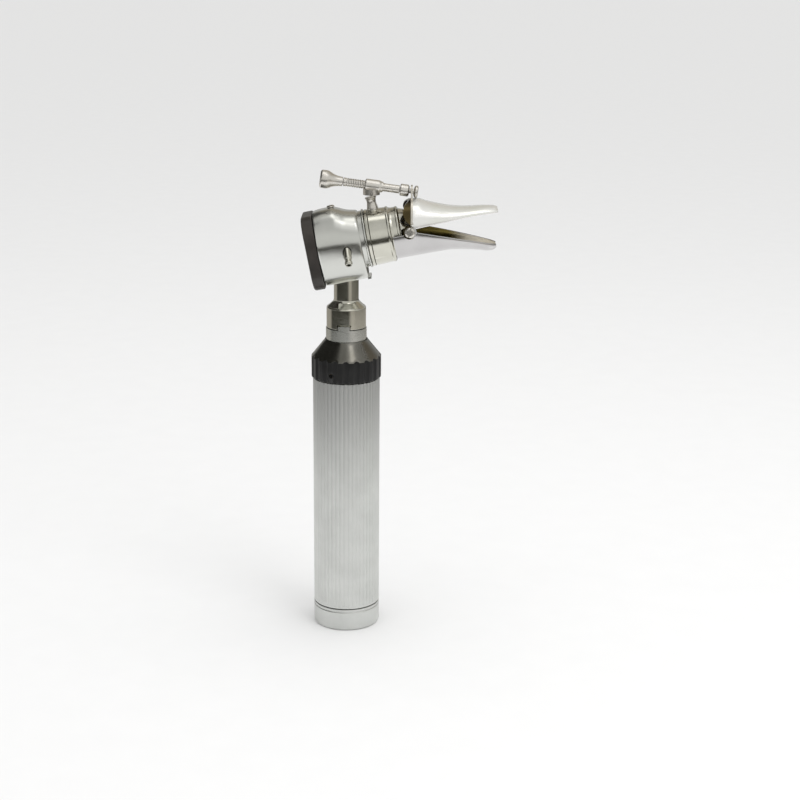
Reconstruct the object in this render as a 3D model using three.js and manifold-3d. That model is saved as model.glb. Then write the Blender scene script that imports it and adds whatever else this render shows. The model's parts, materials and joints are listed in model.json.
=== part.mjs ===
// Battery otoscope: C-cell handle with a dimmer ring, a lamp head with a swing-away magnifier,
// and an expanding bivalve speculum opened by an adjusting screw. Millimetres, +Z up.
// The origin is the centre of the base cap's flat underside, and the head points along +X.
// Head parts are drawn in the head's own frame: u along the speculum's axis, y across, v up.
import * as THREE from 'three';
import { ParametricGeometry } from 'three/addons/geometries/ParametricGeometry.js';
import { mergeVertices } from 'three/addons/utils/BufferGeometryUtils.js';
import Module from 'manifold-3d';

const wasm = await Module();
wasm.setup();

// ---------- driving dimensions: general ----------
const TURN = 2 * Math.PI;
const RIGHT_ANGLE = Math.PI / 2;
const radians = THREE.MathUtils.degToRad;
const GAP = 0.3;
const SHEET = 0.8;
// Cutting tools reach this far past the surface they cut.
const OVERCUT = 2;

// ---------- driving dimensions: handle ----------
const TUBE = { outerR: 14.7, innerR: 13.5, bottom: 10.3, top: 115.05, ribs: 48, ribDepth: 0.25 };
const CAP = { height: 10, edge: 2, spigotR: 13.2, spigotTop: 13.4, cupR: 11.2, floor: 2.4 };
const CELL = { radius: 13.1, length: 47.8, bevel: 0.5, nubR: 3.3, nubHeight: 1.4, lowerBottom: 13.7 };
const RING = {
  outerR: 15.4, innerR: 13.9, bottom: 115.35, bandTop: 124.6, top: 132.3, throatR: 9.2, lip: 1.0,
  flutes: 20, fluteR: 2.0, fluteDepth: 0.55, fluteLength: 20, firstRib: radians(10),
};
const NECK = {
  flangeR: 12.9, skirtR: 13.2, skirtWall: 2.7, stemR: 7.0, collarR: 8.9, spigotR: 6.4, boreR: 3.0,
  skirtBottom: 110.0, flangeBottom: 115.4, flangeTop: 118.4, collarBottom: 130.9, collarTop: 137.4,
  spigotTop: 145.3, spigotBevel: 0.6,
};
const KEY = { width: 5.1, height: 1.8, offset: -0.8 };
// The grub screw and the wiper sit at one place round the ring.
const INDEX = { angle: radians(-114), z: 118.6, holeR: 1.05, screwR: 0.85, screwFrom: 13.95, screwTo: 14.9 };
const WIPER = {
  stripR: 13.45, stripZ: 119.6, strip: [0.35, 3, 6.4], armR: 12.5, armZ: 121.6, arm: [2.0, 2, 1.2],
};
const TRACK = { innerR: 7.4, outerR: 11.2, low: 119.6, high: 123.6, gap: 1.2, lead: -0.8 };
const SNAP_RING = { innerR: 7.3, outerR: 9.8, low: 128.9, high: 129.7, gap: 0.7, lead: 0 };
const DETENT = {
  z: (NECK.flangeBottom + NECK.flangeTop) / 2, ballR: 0.95, ballX: 12.2, seatR: 1.1, seatFrom: 8, seatTo: 14,
};
const SPRINGS = {
  battery: { lowR: 9, highR: 4.2, low: 3.1, high: 12.9, turns: 4, wireR: 0.45, steps: 8 },
  detent: { lowR: 0.6, highR: 0.6, low: 8.4, high: 11.0, turns: 3, wireR: 0.18, steps: 7 },
  pin: { lowR: 1.7, highR: 1.7, low: 117.2, high: 122.0, turns: 4, wireR: 0.25, steps: 8 },
};
const NECK_INSULATOR = { innerR: 2.3, outerR: 10.2, low: 111.1, high: 115.1 };
const PIN_INSULATOR = { innerR: 1.3, outerR: 2.7, low: 124.4, high: 144.9 };
const RIVET = { headR: 4, bodyR: 2, bottom: 109.9, headTop: 110.8, top: 116.6 };
const PIN = { footR: 2.4, footBottom: 122.6, radius: 1.0, bottom: 123.9, top: 145.5, tip: 0.4 };

// ---------- driving dimensions: head ----------
const HEAD = { axisZ: 174.86, tilt: radians(11) };
const SLEEVE = {
  outerR: 8.6, boreR: 6.7, bottom: 137.7, shoulder: 146.8, stemR: 5.5, stemFoot: 149.3, top: 158.8,
  innerR: 3.3, floor: 145.8,
};
const HEAD_INSULATOR = { innerR: 1.3, outerR: 3.0, low: 146.1, high: 158.6 };
const LAMP_SOCKET = { innerR: 2.5, outerR: 3.4, low: 159.2, high: 164.0 };
const HEAD_CONTACT = { radius: 1.0, low: 146.8, high: 159.2 };
const LAMP_BASE = { radius: 2.2, low: 159.6, high: 164.4 };
const BULB = { bottom: 164.7, radius: 2.1, height: 5.4, neck: 0.7, shoulder: 1 };

const HOUSING = {
  back: -11.8, front: 7.0, bottom: -16.9, widest: -2.0, wall: 1.6,
  neckR: 12.15, neckFrom: 2, neckWall: 1.3, neckEnd: 9.6, bead: 0.55,
  stations: [-11.8, -8, -3.7, -1, 1.9, 4.5, 7.0],
  hollow: [-13, -8, -3.7, -1, 1.9, 5.4],
  top: [[-11.8, 15.4], [-8, 15.9], [-3.7, 16.0], [-1, 15.1], [1.9, 13.8], [4.5, 13.1], [7, 12.7]],
  halfWidth: [[-11.8, 13.8], [-3.7, 13.6], [1.9, 13.2], [7, 12.6]],
  squareness: [[-11.8, 2.9], [1.9, 2.6], [7, 2.25]],
};
const LIP = { depth: 0.9, width: 9, sink: 0.5 };
const SLEEVE_HOLE = { low: 148.4, high: 160.4 };
const NIPPLE = {
  u: 0.4, y: -11.6, v: -1.0, tilt: radians(135), radius: 1.7, boreR: 0.8, length: 8.4, waist: 0.25, tip: 0.4,
};
const NIPPLE_STEPS = [5.4, 6, 6.6, 7.4];
const TOP_SCREW = {
  u: -3.7, radius: 0.9, headR: 1.7, bottom: 12, headBottom: 16.1, top: 16.9, bevel: 0.4, holeR: 1.2,
};
const FRONT_RING = [
  [8.9, 8.8], [10.55, 8.8], [10.55, 9.9], [12.25, 9.9], [12.25, 11.1], [10.6, 11.1], [9.8, 16], [8.9, 16],
];

// ---------- driving dimensions: magnifier ----------
const FRAME = { back: -16.8, front: -12.1, width: 27.6, bottom: -17.2, top: 15.0, corner: 7.5 };
const LENS = { centreV: -2.4, seatR: 11.7, seatDepth: -13.4, windowR: 9.9 };
const LENS_PIVOT = {
  v: 12.0, holeR: 1.4, headHoleR: 2.4, headSeat: -15.5, bossR: 2.7, bossEnd: -6, holeEnd: -7.4,
};
const LENS_PROFILE = [
  [0, -15.9], [4, -15.75], [8, -15.3], [11.4, -14.8], [11.4, -13.8], [8, -13.4], [4, -13.1], [0, -13],
];
const RETAINER_PROFILE = [[10.1, -16.5], [11.4, -16.5], [11.4, -15.1], [10.9, -15.1], [10.1, -15.9]];
const LENS_SCREW_PROFILE = [[0, -16.6], [2.1, -16.6], [2.1, -15.8], [1.1, -15.8], [1.1, -8], [0, -8]];

// ---------- driving dimensions: speculum ----------
const PIVOT = { u: 28.0, v: 1.1, lowerEarR: 2.3, upperEarR: 2.9, holeR: 1.5, innerEarY: 10.0, outerEarY: 11.3 };
const PIVOT_SCREW = { radius: 1.2, from: 9.7, washer: 0.2, headR: 2.2, rim: 0.5, crownR: 1.6, height: 1 };
const CONE_PROFILE = [
  [11.2, 11.4], [12.2, 11.4], [11.75, 18.9], [12.0, 19.1], [12.0, 19.8], [11.35, 20.3], [11.1, 21.2],
  [11.1, 22.9], [11.3, 23.1], [11.3, 23.8], [10.3, 24.4], [9.6, 26.5], [8.7, 26.5], [8.7, 24.4],
];
// The lower blade's sleeve sits in a step round the lower half of the cone's nose.
const NOSE_STEP = { radius: 9.85, outerR: 14, from: 20.3, to: 30, top: 0.3 };
const LOWER = {
  stations: [20.6, 26, 28, 34, 42, 47, 51.6, 56, 59, 61.4, 62.6, 63.2],
  rim: [[26, 0], [28, 1.1], [61.5, -11.5], [63.2, -12.2]],
  crown: [[42, -11.0], [47, -11.6], [51.6, -12.5], [56, -13.6], [59, -14.6], [61.4, -14.8], [63.2, -13.9]],
  halfWidth: [
    [28, 11.0], [34, 10.7], [41, 10], [47, 9.1], [52, 8], [57, 6.6], [60.5, 5.2], [62.4, 3.9], [63.2, 3.0],
  ],
};
const UPPER = {
  stations: [26.3, 28, 30, 33.4, 37, 40.9, 46.5, 53.5, 59, 63.5, 65.6, 66.6],
  rim: [[51, 2.4], [66.6, 1.5]],
  crown: [
    [26, 13.9], [33.4, 13.1], [37, 11.4], [40.9, 9.7], [46.5, 7.6], [53.5, 5.9], [59, 5.2], [65.3, 4.0],
    [66.6, 3.3],
  ],
  halfWidth: [
    [30, 12.1], [34, 11.4], [41, 10.1], [47, 8.9], [53.5, 7.5], [59, 6.3], [63.5, 5.1], [65.6, 4.2],
    [66.6, 3.2],
  ],
  // The outline cut away behind the blade, in u and v.
  behind: [[20, -5], [28.9, -5], [28.9, 4.1], [26.6, 9.3], [30.2, 13.4], [30.2, 20], [20, 20]],
};

// ---------- driving dimensions: adjusting screw ----------
const BLOCK_PIN = { u: 14.8, v: 18.95, radius: 0.45, length: 6.4 };
const POST = {
  u: 13.9, pegR: 1.2, pegBottom: 11.6, seatR: 1.5, foot: 12.3, footR: 2.45, footTop: 13.2, footTopR: 2.3,
  waistR: 1.9, waist: 15.2, flare: 16.3, flareR: 2.1, topR: 2.85, top: 17.4, edge: 0.2,
};
const TONGUE = { width: 2.2, depth: 1.6, sink: 1, topR: 0.8, clearance: 0.1 };
const PAD = { x: 10.8, radius: 3.6, bottom: 195.5, top: 198.0, pocket: [4.6, 2.8, 4] };
const BARREL_PROFILE = [[0, 8.2], [2.45, 8.2], [2.7, 8.5], [2.7, 14.2], [2.3, 15.2], [2.3, 15.8], [0, 15.8]];
const ROD = { z: 200.71, slope: radians(7.46), radius: 1.9, clearance: 0.15, boreFrom: 5, boreTo: 20 };
const ROD_PROFILE = [
  [0, -5.6], [1.2, -5.6], [1.2, -1.2], [1.9, -1.2], [1.9, 15.9], [1.75, 16.4], [1.75, 22.9], [1.0, 22.9],
  [1.0, 30.2], [0, 30.2],
];
const KNOB_PROFILE = [
  [0, -11.2], [3.3, -11.2], [3.9, -10.6], [3.95, -8.4], [3.6, -7.2], [2.85, -5.9], [2.35, -4.4], [2.1, -3],
  [2.0, -1.5], [1.5, -1.5], [1.5, -5.9], [0, -5.9],
];
const COLLAR_PROFILE = [[1.3, 23.2], [2.3, 23.2], [2.55, 23.5], [2.55, 26.6], [1.9, 27.1], [1.3, 27.1]];
const BUTTON_PROFILE = [[1.15, 29.15], [1.8, 29.15], [2.6, 29.7], [2.6, 30.5], [2.2, 30.9], [1.15, 30.9]];
const LEVER = {
  x: 27.65, top: 199.7, halfWidth: 2.9, footU: 29.6, archY: 12.05, archZ: 12.2, innerY: 11.5, innerZ: 10.4,
  shoulder: 0.39 * Math.PI, slotY: 1.4, slotZ: 1.6,
};

// ---------- colours ----------
const look = (color, roughness, metalness) => new THREE.MeshStandardMaterial({ color, roughness, metalness });
const LOOKS = {
  satin: () => look(0xa9aca8, 0.42, 0.9),
  chrome: () => look(0xb9bbb2, 0.16, 1.0),
  steel: () => look(0xb5b0a2, 0.3, 1.0),
  dark: () => look(0x34322d, 0.35, 0.7),
  black: () => look(0x26221e, 0.5, 0.1),
  brass: () => look(0xb08d4a, 0.35, 1.0),
  plastic: () => look(0x5b4a3a, 0.6, 0.0),
  jacket: () => look(0x4b5a6a, 0.45, 0.2),
  glass: () => look(0xdfe8ea, 0.05, 0.0),
};

// ---------- joining and cutting ----------
const WELD = 1e-4;

function toSolid(geometry) {
  const bare = geometry.clone();
  bare.deleteAttribute('normal');
  bare.deleteAttribute('uv');
  const merged = mergeVertices(bare, WELD);
  const corners = merged.index.array;
  const faces = [];
  for (let i = 0; i < corners.length; i += 3) {
    const [a, b, c] = [corners[i], corners[i + 1], corners[i + 2]];
    if (a !== b && b !== c && c !== a) faces.push(a, b, c);
  }
  const vertProperties = new Float32Array(merged.attributes.position.array);
  return new wasm.Manifold(new wasm.Mesh({ numProp: 3, vertProperties, triVerts: new Uint32Array(faces) }));
}

function toGeometry(solid) {
  const mesh = solid.getMesh();
  const geometry = new THREE.BufferGeometry();
  geometry.setAttribute('position', new THREE.BufferAttribute(new Float32Array(mesh.vertProperties), 3));
  geometry.setIndex(new THREE.BufferAttribute(new Uint32Array(mesh.triVerts), 1));
  return geometry;
}

const cut = (base, ...tools) => toGeometry(
  tools.reduce((left, tool) => left.subtract(toSolid(tool)), toSolid(base)),
);
const join = (base, ...more) => toGeometry(
  more.reduce((left, piece) => left.add(toSolid(piece)), toSolid(base)),
);
const keep = (base, tool) => toGeometry(toSolid(base).intersect(toSolid(tool)));

// ---------- shapes ----------
// A profile of [radius, height] pairs turned about Z, listed counter-clockwise.
function turned(profile, segments = 24) {
  const points = profile.map(([r, h]) => new THREE.Vector2(r, h));
  return new THREE.LatheGeometry(points, segments).rotateX(RIGHT_ANGLE);
}

const closed = (profile) => [...profile, profile[0]];
const turnedAlongX = (profile, segments) => turned(profile, segments).rotateY(RIGHT_ANGLE);

function ringProfile(inner, outer, low, high) {
  return closed([[inner, low], [outer, low], [outer, high], [inner, high]]);
}

function sleeveOf({ innerR, outerR, low, high }, segments) {
  return turned(ringProfile(innerR, outerR, low, high), segments);
}

function disc(radius, low, high, segments = 16) {
  return turned([[0, low], [radius, low], [radius, high], [0, high]], segments);
}

const discAlongX = (radius, low, high, segments) => disc(radius, low, high, segments).rotateY(RIGHT_ANGLE);
const block = ([sx, sy, sz], x, y, z) => new THREE.BoxGeometry(sx, sy, sz).translate(x, y, z);

// A disc along +Y from low to high; side -1 mirrors it to the other flank.
function discAlongY(radius, low, high, side, segments = 14) {
  return disc(radius, low, high, segments).rotateX(-side * RIGHT_ANGLE);
}

function discAcrossY(radius, width) {
  return disc(radius, -width / 2, width / 2).rotateX(RIGHT_ANGLE);
}

function extruded(outline, depth, curveSegments = 14) {
  return new THREE.ExtrudeGeometry(outline, { depth, bevelEnabled: false, curveSegments });
}

// An outline in the plane of X and Z, given depth along Y and centred on Y = 0.
function sidePlate(points, depth) {
  const outline = new THREE.Shape(points.map(([x, z]) => new THREE.Vector2(x, z)));
  return extruded(outline, depth).rotateX(RIGHT_ANGLE).translate(0, depth / 2, 0);
}

// An outline in the plane of Y and Z, given thickness along +X from x.
function crossPlate(outline, x, thickness, curveSegments) {
  const plate = extruded(outline, thickness, curveSegments);
  return plate.rotateY(RIGHT_ANGLE).rotateX(RIGHT_ANGLE).translate(x, 0, 0);
}

// Closed sections strung along X; outline(x, share) gives [y, z] for a share of the way round, from 0 to 1,
// and each end closes on middle(x).
function loft(stations, outline, middle, around) {
  const rows = stations.length + 1;
  const place = (s, t, target) => {
    const row = Math.round(t * rows);
    const x = stations[Math.min(Math.max(row - 1, 0), stations.length - 1)];
    const [y, z] = row === 0 || row === rows ? [0, middle(x)] : outline(x, s % 1);
    target.set(x, y, z);
  };
  return new ParametricGeometry(place, around, rows);
}

// Straight lines between [position, value] pairs.
function graph(pairs) {
  return (x) => {
    const next = pairs.findIndex(([at]) => at > x);
    if (next === 0) return pairs[0][1];
    if (next < 0) return pairs[pairs.length - 1][1];
    const [[x0, y0], [x1, y1]] = [pairs[next - 1], pairs[next]];
    return y0 + (y1 - y0) * (x - x0) / (x1 - x0);
  };
}

class Helix extends THREE.Curve {
  constructor(spring) {
    super();
    this.spring = spring;
  }

  getPoint(t, target = new THREE.Vector3()) {
    const { lowR, highR, low, high, turns } = this.spring;
    const r = lowR + (highR - lowR) * t;
    const angle = TURN * turns * t;
    return target.set(r * Math.cos(angle), r * Math.sin(angle), low + (high - low) * t);
  }
}

function coil(spring) {
  const section = new THREE.Shape();
  section.absarc(0, 0, spring.wireR, 0, TURN, false);
  const steps = spring.turns * spring.steps;
  return new THREE.ExtrudeGeometry(section, { extrudePath: new Helix(spring), steps, curveSegments: 3 });
}

// ---------- scene graph ----------
const otoscope = new THREE.Group();
const head = new THREE.Group();
head.position.z = HEAD.axisZ;
head.rotation.y = -HEAD.tilt;
const rod = new THREE.Group();
rod.position.z = ROD.z;
rod.rotation.y = ROD.slope;
otoscope.add(head, rod);
otoscope.updateMatrixWorld(true);
const worldToHead = head.matrixWorld.clone().invert();
const worldToRod = rod.matrixWorld.clone().invert();
const headToRod = worldToRod.clone().multiply(head.matrixWorld);

function add(group, name, material, geometry) {
  const mesh = new THREE.Mesh(geometry, material);
  mesh.name = name;
  group.add(mesh);
}

// ---------- handle ----------
function handleTube() {
  const points = [];
  for (let rib = 0; rib < TUBE.ribs; rib++) {
    for (const [part, r] of [[0, TUBE.outerR], [0.5, TUBE.outerR - TUBE.ribDepth]]) {
      const angle = TURN * (rib + part) / TUBE.ribs;
      points.push(new THREE.Vector2(r * Math.cos(angle), r * Math.sin(angle)));
    }
  }
  const outline = new THREE.Shape(points);
  const bore = new THREE.Path();
  bore.absarc(0, 0, TUBE.innerR, 0, TURN, true);
  outline.holes.push(bore);
  return extruded(outline, TUBE.top - TUBE.bottom, 24).translate(0, 0, TUBE.bottom);
}

function baseCap() {
  const r = TUBE.outerR;
  const edge = [0, 30, 60, 90].map((degrees) => {
    const angle = radians(degrees);
    return [r - CAP.edge + CAP.edge * Math.sin(angle), CAP.edge - CAP.edge * Math.cos(angle)];
  });
  return turned([
    [0, 0], ...edge, [r, CAP.height], [CAP.spigotR, CAP.height], [CAP.spigotR, CAP.spigotTop],
    [CAP.cupR, CAP.spigotTop], [CAP.cupR, CAP.floor], [0, CAP.floor],
  ], 28);
}

function cell(bottom) {
  const { radius, bevel, nubR } = CELL;
  const top = bottom + CELL.length;
  const shoulder = top - CELL.nubHeight;
  return turned([
    [0, bottom], [radius - bevel, bottom], [radius, bottom + bevel], [radius, shoulder - bevel],
    [radius - bevel, shoulder], [nubR, shoulder], [nubR, top], [0, top],
  ], 20);
}

function handleNeck() {
  const n = NECK;
  const skirtInner = n.skirtR - n.skirtWall;
  const body = turned(closed([
    [n.boreR, n.flangeBottom], [skirtInner, n.flangeBottom], [skirtInner, n.skirtBottom],
    [n.skirtR, n.skirtBottom], [n.skirtR, n.flangeBottom], [n.flangeR, n.flangeBottom],
    [n.flangeR, n.flangeTop], [n.stemR, n.flangeTop], [n.stemR, n.collarBottom], [n.collarR, n.collarBottom],
    [n.collarR, n.collarTop], [n.spigotR, n.collarTop], [n.spigotR, n.spigotTop - n.spigotBevel],
    [n.spigotR - n.spigotBevel, n.spigotTop], [n.boreR, n.spigotTop],
  ]), 28);
  const ballSeat = discAlongX(DETENT.seatR, DETENT.seatFrom, DETENT.seatTo, 12).translate(0, 0, DETENT.z);
  return cut(join(body, neckKey()), ballSeat);
}

// The key stands on the collar's top, within its wall, and is rooted in it.
function neckKey() {
  const root = 1;
  const low = NECK.collarTop - root;
  const high = NECK.collarTop + KEY.height;
  const depth = NECK.collarR - NECK.spigotR + 2 * OVERCUT;
  const middle = [KEY.offset, -(NECK.collarR + NECK.spigotR) / 2, (low + high) / 2];
  const blank = block([KEY.width, depth, high - low], ...middle);
  return keep(blank, turned(ringProfile(NECK.spigotR - GAP, NECK.collarR, low, high + OVERCUT), 28));
}

const atIndex = (geometry) => geometry.rotateY(RIGHT_ANGLE).rotateZ(INDEX.angle).translate(0, 0, INDEX.z);

function dimmerRing() {
  const shell = turned(closed([
    [RING.innerR, RING.bottom], [RING.outerR, RING.bottom], [RING.outerR, RING.bandTop],
    [RING.throatR + GAP, RING.top], [RING.throatR, RING.top], [RING.throatR, RING.top - RING.lip],
    [RING.innerR, RING.bandTop - RING.lip],
  ]), 40);
  const flutes = [];
  for (let i = 0; i < RING.flutes; i++) {
    const angle = -RIGHT_ANGLE + RING.firstRib + TURN * (i + 0.5) / RING.flutes;
    const r = RING.outerR + RING.fluteR - RING.fluteDepth;
    const groove = disc(RING.fluteR, -RING.fluteLength / 2, RING.fluteLength / 2, 8);
    flutes.push(groove.translate(r * Math.cos(angle), r * Math.sin(angle), RING.bandTop));
  }
  return cut(shell, ...flutes, atIndex(disc(INDEX.holeR, RING.innerR - OVERCUT, RING.outerR + OVERCUT, 12)));
}

function wiper() {
  const strip = block(WIPER.strip, WIPER.stripR, 0, WIPER.stripZ);
  const arm = block(WIPER.arm, WIPER.armR, 0, WIPER.armZ);
  return join(strip, arm).rotateZ(INDEX.angle);
}

// A flat ring with a gap, standing for the wound track and for the snap ring.
function splitRing({ innerR, outerR, low, high, gap, lead }, facing) {
  const from = facing + lead + gap / 2;
  const to = facing + lead - gap / 2 + TURN;
  const outline = new THREE.Shape();
  outline.absarc(0, 0, outerR, from, to, false);
  outline.absarc(0, 0, innerR, to, from, true);
  return extruded(outline, high - low).translate(0, 0, low);
}

const grubScrew = () => atIndex(disc(INDEX.screwR, INDEX.screwFrom, INDEX.screwTo, 12));
const rivet = () => turned([
  [0, RIVET.bottom], [RIVET.headR, RIVET.bottom], [RIVET.headR, RIVET.headTop], [RIVET.bodyR, RIVET.headTop],
  [RIVET.bodyR, RIVET.top], [0, RIVET.top],
], 12);
const contactPin = () => turned([
  [0, PIN.footBottom], [PIN.footR, PIN.footBottom], [PIN.footR, PIN.bottom], [PIN.radius, PIN.bottom],
  [PIN.radius, PIN.top - PIN.tip], [0, PIN.top],
], 10);
const acrossNeck = (geometry) => geometry.rotateY(RIGHT_ANGLE).translate(0, 0, DETENT.z);
const ball = () => new THREE.SphereGeometry(DETENT.ballR, 8, 6).translate(DETENT.ballX, 0, DETENT.z);

add(otoscope, 'handle_tube', LOOKS.satin(), handleTube());
add(otoscope, 'base_cap', LOOKS.satin(), baseCap());
add(otoscope, 'battery_spring', LOOKS.steel(), coil(SPRINGS.battery));
add(otoscope, 'battery_lower', LOOKS.jacket(), cell(CELL.lowerBottom));
add(otoscope, 'battery_upper', LOOKS.jacket(), cell(CELL.lowerBottom + CELL.length + GAP));
add(otoscope, 'handle_neck', LOOKS.chrome(), handleNeck());
add(otoscope, 'contact_insulator', LOOKS.plastic(), sleeveOf(NECK_INSULATOR, 16));
add(otoscope, 'positive_contact', LOOKS.brass(), rivet());
add(otoscope, 'rheostat_track', LOOKS.plastic(), splitRing(TRACK, INDEX.angle));
add(otoscope, 'ring_retainer', LOOKS.steel(), splitRing(SNAP_RING, 0));
add(otoscope, 'detent_spring', LOOKS.steel(), acrossNeck(coil(SPRINGS.detent)));
add(otoscope, 'detent_ball', LOOKS.steel(), ball());
add(otoscope, 'dimmer_ring', LOOKS.dark(), dimmerRing());
add(otoscope, 'rheostat_wiper', LOOKS.brass(), wiper());
add(otoscope, 'ring_grub_screw', LOOKS.black(), grubScrew());
add(otoscope, 'pin_spring', LOOKS.steel(), coil(SPRINGS.pin));
add(otoscope, 'pin_insulator', LOOKS.plastic(), sleeveOf(PIN_INSULATOR, 12));
add(otoscope, 'contact_pin', LOOKS.brass(), contactPin());

// ---------- head: sleeve, contacts and lamp ----------
function headSleeve() {
  const s = SLEEVE;
  const body = turned(closed([
    [s.boreR, s.bottom], [s.outerR, s.bottom], [s.outerR, s.shoulder], [s.stemR, s.stemFoot], [s.stemR, s.top],
    [s.innerR, s.top], [s.innerR, s.floor], [s.boreR, s.floor],
  ]), 28);
  const notchTop = NECK.collarTop + KEY.height + 2 * GAP;
  const notchBottom = s.bottom - OVERCUT;
  const size = [KEY.width + 2 * GAP, 2 * OVERCUT + s.outerR - s.boreR, notchTop - notchBottom];
  const notch = block(size, KEY.offset, -(s.outerR + s.boreR) / 2, (notchTop + notchBottom) / 2);
  return cut(body, notch);
}

function lampBulb() {
  const { bottom, radius, height, neck, shoulder } = BULB;
  const dome = [90, 60, 30, 0].map((degrees) => {
    const angle = radians(degrees);
    return [radius * Math.sin(angle), bottom + height - radius + radius * Math.cos(angle)];
  });
  return turned([[0, bottom], [radius * neck, bottom], [radius, bottom + shoulder], ...dome], 14);
}

const rodOf = ({ radius, low, high }, segments) => disc(radius, low, high, segments);

add(otoscope, 'head_sleeve', LOOKS.chrome(), headSleeve());
add(otoscope, 'head_contact_insulator', LOOKS.plastic(), sleeveOf(HEAD_INSULATOR, 12));
add(otoscope, 'head_contact', LOOKS.brass(), rodOf(HEAD_CONTACT, 16));
add(otoscope, 'lamp_socket', LOOKS.brass(), sleeveOf(LAMP_SOCKET, 16));
add(otoscope, 'lamp_base', LOOKS.brass(), rodOf(LAMP_BASE, 20));
add(otoscope, 'lamp_bulb', LOOKS.glass(), lampBulb());

// ---------- head: housing ----------
const housingTop = graph(HOUSING.top);
const housingHalfWidth = graph(HOUSING.halfWidth);
const housingSquareness = graph(HOUSING.squareness);

// A rounded box section that is widest a little below the head's axis.
function housingSection(inset) {
  return (u, share) => {
    const [c, s] = [Math.cos(share * TURN), Math.sin(share * TURN)];
    const power = 2 / housingSquareness(u);
    const reach = s > 0 ? housingTop(u) - HOUSING.widest : HOUSING.widest - HOUSING.bottom;
    const bend = (value, size) => Math.sign(value) * (size - inset) * Math.abs(value) ** power;
    return [bend(c, housingHalfWidth(u)), HOUSING.widest + bend(s, reach)];
  };
}

const housingLoft = (stations, inset) => loft(stations, housingSection(inset), () => HOUSING.widest, 20);
const verticalInHead = (geometry) => geometry.applyMatrix4(worldToHead);
const nippleAim = (geometry) => geometry.rotateX(NIPPLE.tilt).translate(NIPPLE.u, NIPPLE.y, NIPPLE.v);
const onLensPivot = (geometry) => geometry.translate(0, 0, LENS_PIVOT.v);

function housingNeck() {
  const { neckR, neckFrom, neckEnd, bead } = HOUSING;
  return turnedAlongX([
    [0, neckFrom], [neckR, neckFrom], [neckR, neckEnd - 0.9], [neckR + bead, neckEnd - 0.7],
    [neckR + bead, neckEnd - 0.2], [neckR, neckEnd], [0, neckEnd],
  ], 32);
}

function headHousing() {
  const h = HOUSING;
  const lip = block([LIP.depth, LIP.width, LIP.depth], h.front, 0, h.bottom + LIP.sink);
  const screwHole = disc(TOP_SCREW.holeR, TOP_SCREW.bottom - OVERCUT, TOP_SCREW.top + OVERCUT, 12);
  screwHole.translate(TOP_SCREW.u, 0, 0);
  const shell = cut(
    join(housingLoft(h.stations, 0), housingNeck(), lip),
    housingLoft(h.hollow, h.wall),
    discAlongX(h.neckR - h.neckWall, h.neckFrom - 1, h.neckEnd + OVERCUT, 32),
    verticalInHead(disc(SLEEVE.stemR + GAP, SLEEVE_HOLE.low, SLEEVE_HOLE.high, 24)),
    nippleAim(disc(NIPPLE.radius + GAP, -2 * OVERCUT, NIPPLE.length + OVERCUT)),
    screwHole,
  );
  const pivotBoss = onLensPivot(discAlongX(LENS_PIVOT.bossR, h.back, LENS_PIVOT.bossEnd));
  const pivotHole = onLensPivot(discAlongX(LENS_PIVOT.holeR, h.back - OVERCUT, LENS_PIVOT.holeEnd, 12));
  return cut(join(shell, pivotBoss), pivotHole);
}

function nipple() {
  const [barbFoot, barbIn, barbOut, barbTop] = NIPPLE_STEPS;
  const r = NIPPLE.radius;
  const waist = r - NIPPLE.waist;
  return nippleAim(turned(closed([
    [NIPPLE.boreR, 0], [r, 0], [r, barbFoot], [waist, barbIn], [waist, barbOut], [r, barbTop],
    [r - NIPPLE.tip, NIPPLE.length], [NIPPLE.boreR, NIPPLE.length],
  ]), 12));
}

function topScrew() {
  const { radius, headR, bottom, headBottom, top, bevel } = TOP_SCREW;
  return turned([
    [0, bottom], [radius, bottom], [radius, headBottom], [headR, headBottom], [headR, top - bevel],
    [headR - bevel, top], [0, top],
  ], 12).translate(TOP_SCREW.u, 0, 0);
}

add(head, 'head_housing', LOOKS.satin(), headHousing());
add(head, 'front_ring', LOOKS.chrome(), turnedAlongX(closed(FRONT_RING), 32));
add(head, 'insufflation_nipple', LOOKS.chrome(), nipple());
add(head, 'top_screw', LOOKS.steel(), topScrew());

// ---------- magnifier ----------
function lensFrame() {
  const side = FRAME.width / 2 - FRAME.corner;
  const [low, high] = [FRAME.bottom + FRAME.corner, FRAME.top - FRAME.corner];
  const outline = new THREE.Shape();
  outline.moveTo(-side, FRAME.bottom);
  outline.lineTo(side, FRAME.bottom);
  outline.absarc(side, low, FRAME.corner, -RIGHT_ANGLE, 0, false);
  outline.absarc(side, high, FRAME.corner, 0, RIGHT_ANGLE, false);
  outline.absarc(-side, high, FRAME.corner, RIGHT_ANGLE, 2 * RIGHT_ANGLE, false);
  outline.absarc(-side, low, FRAME.corner, 2 * RIGHT_ANGLE, 3 * RIGHT_ANGLE, false);
  const [behind, before] = [FRAME.back - OVERCUT, FRAME.front + OVERCUT];
  return cut(
    crossPlate(outline, FRAME.back, FRAME.front - FRAME.back, 6),
    onLensAxis(discAlongX(LENS.windowR, behind, before, 32)),
    onLensAxis(discAlongX(LENS.seatR, behind, LENS.seatDepth, 32)),
    onLensPivot(discAlongX(LENS_PIVOT.holeR, behind, before, 12)),
    onLensPivot(discAlongX(LENS_PIVOT.headHoleR, behind, LENS_PIVOT.headSeat)),
  );
}

function onLensAxis(geometry) {
  return geometry.translate(0, 0, LENS.centreV);
}

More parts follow.
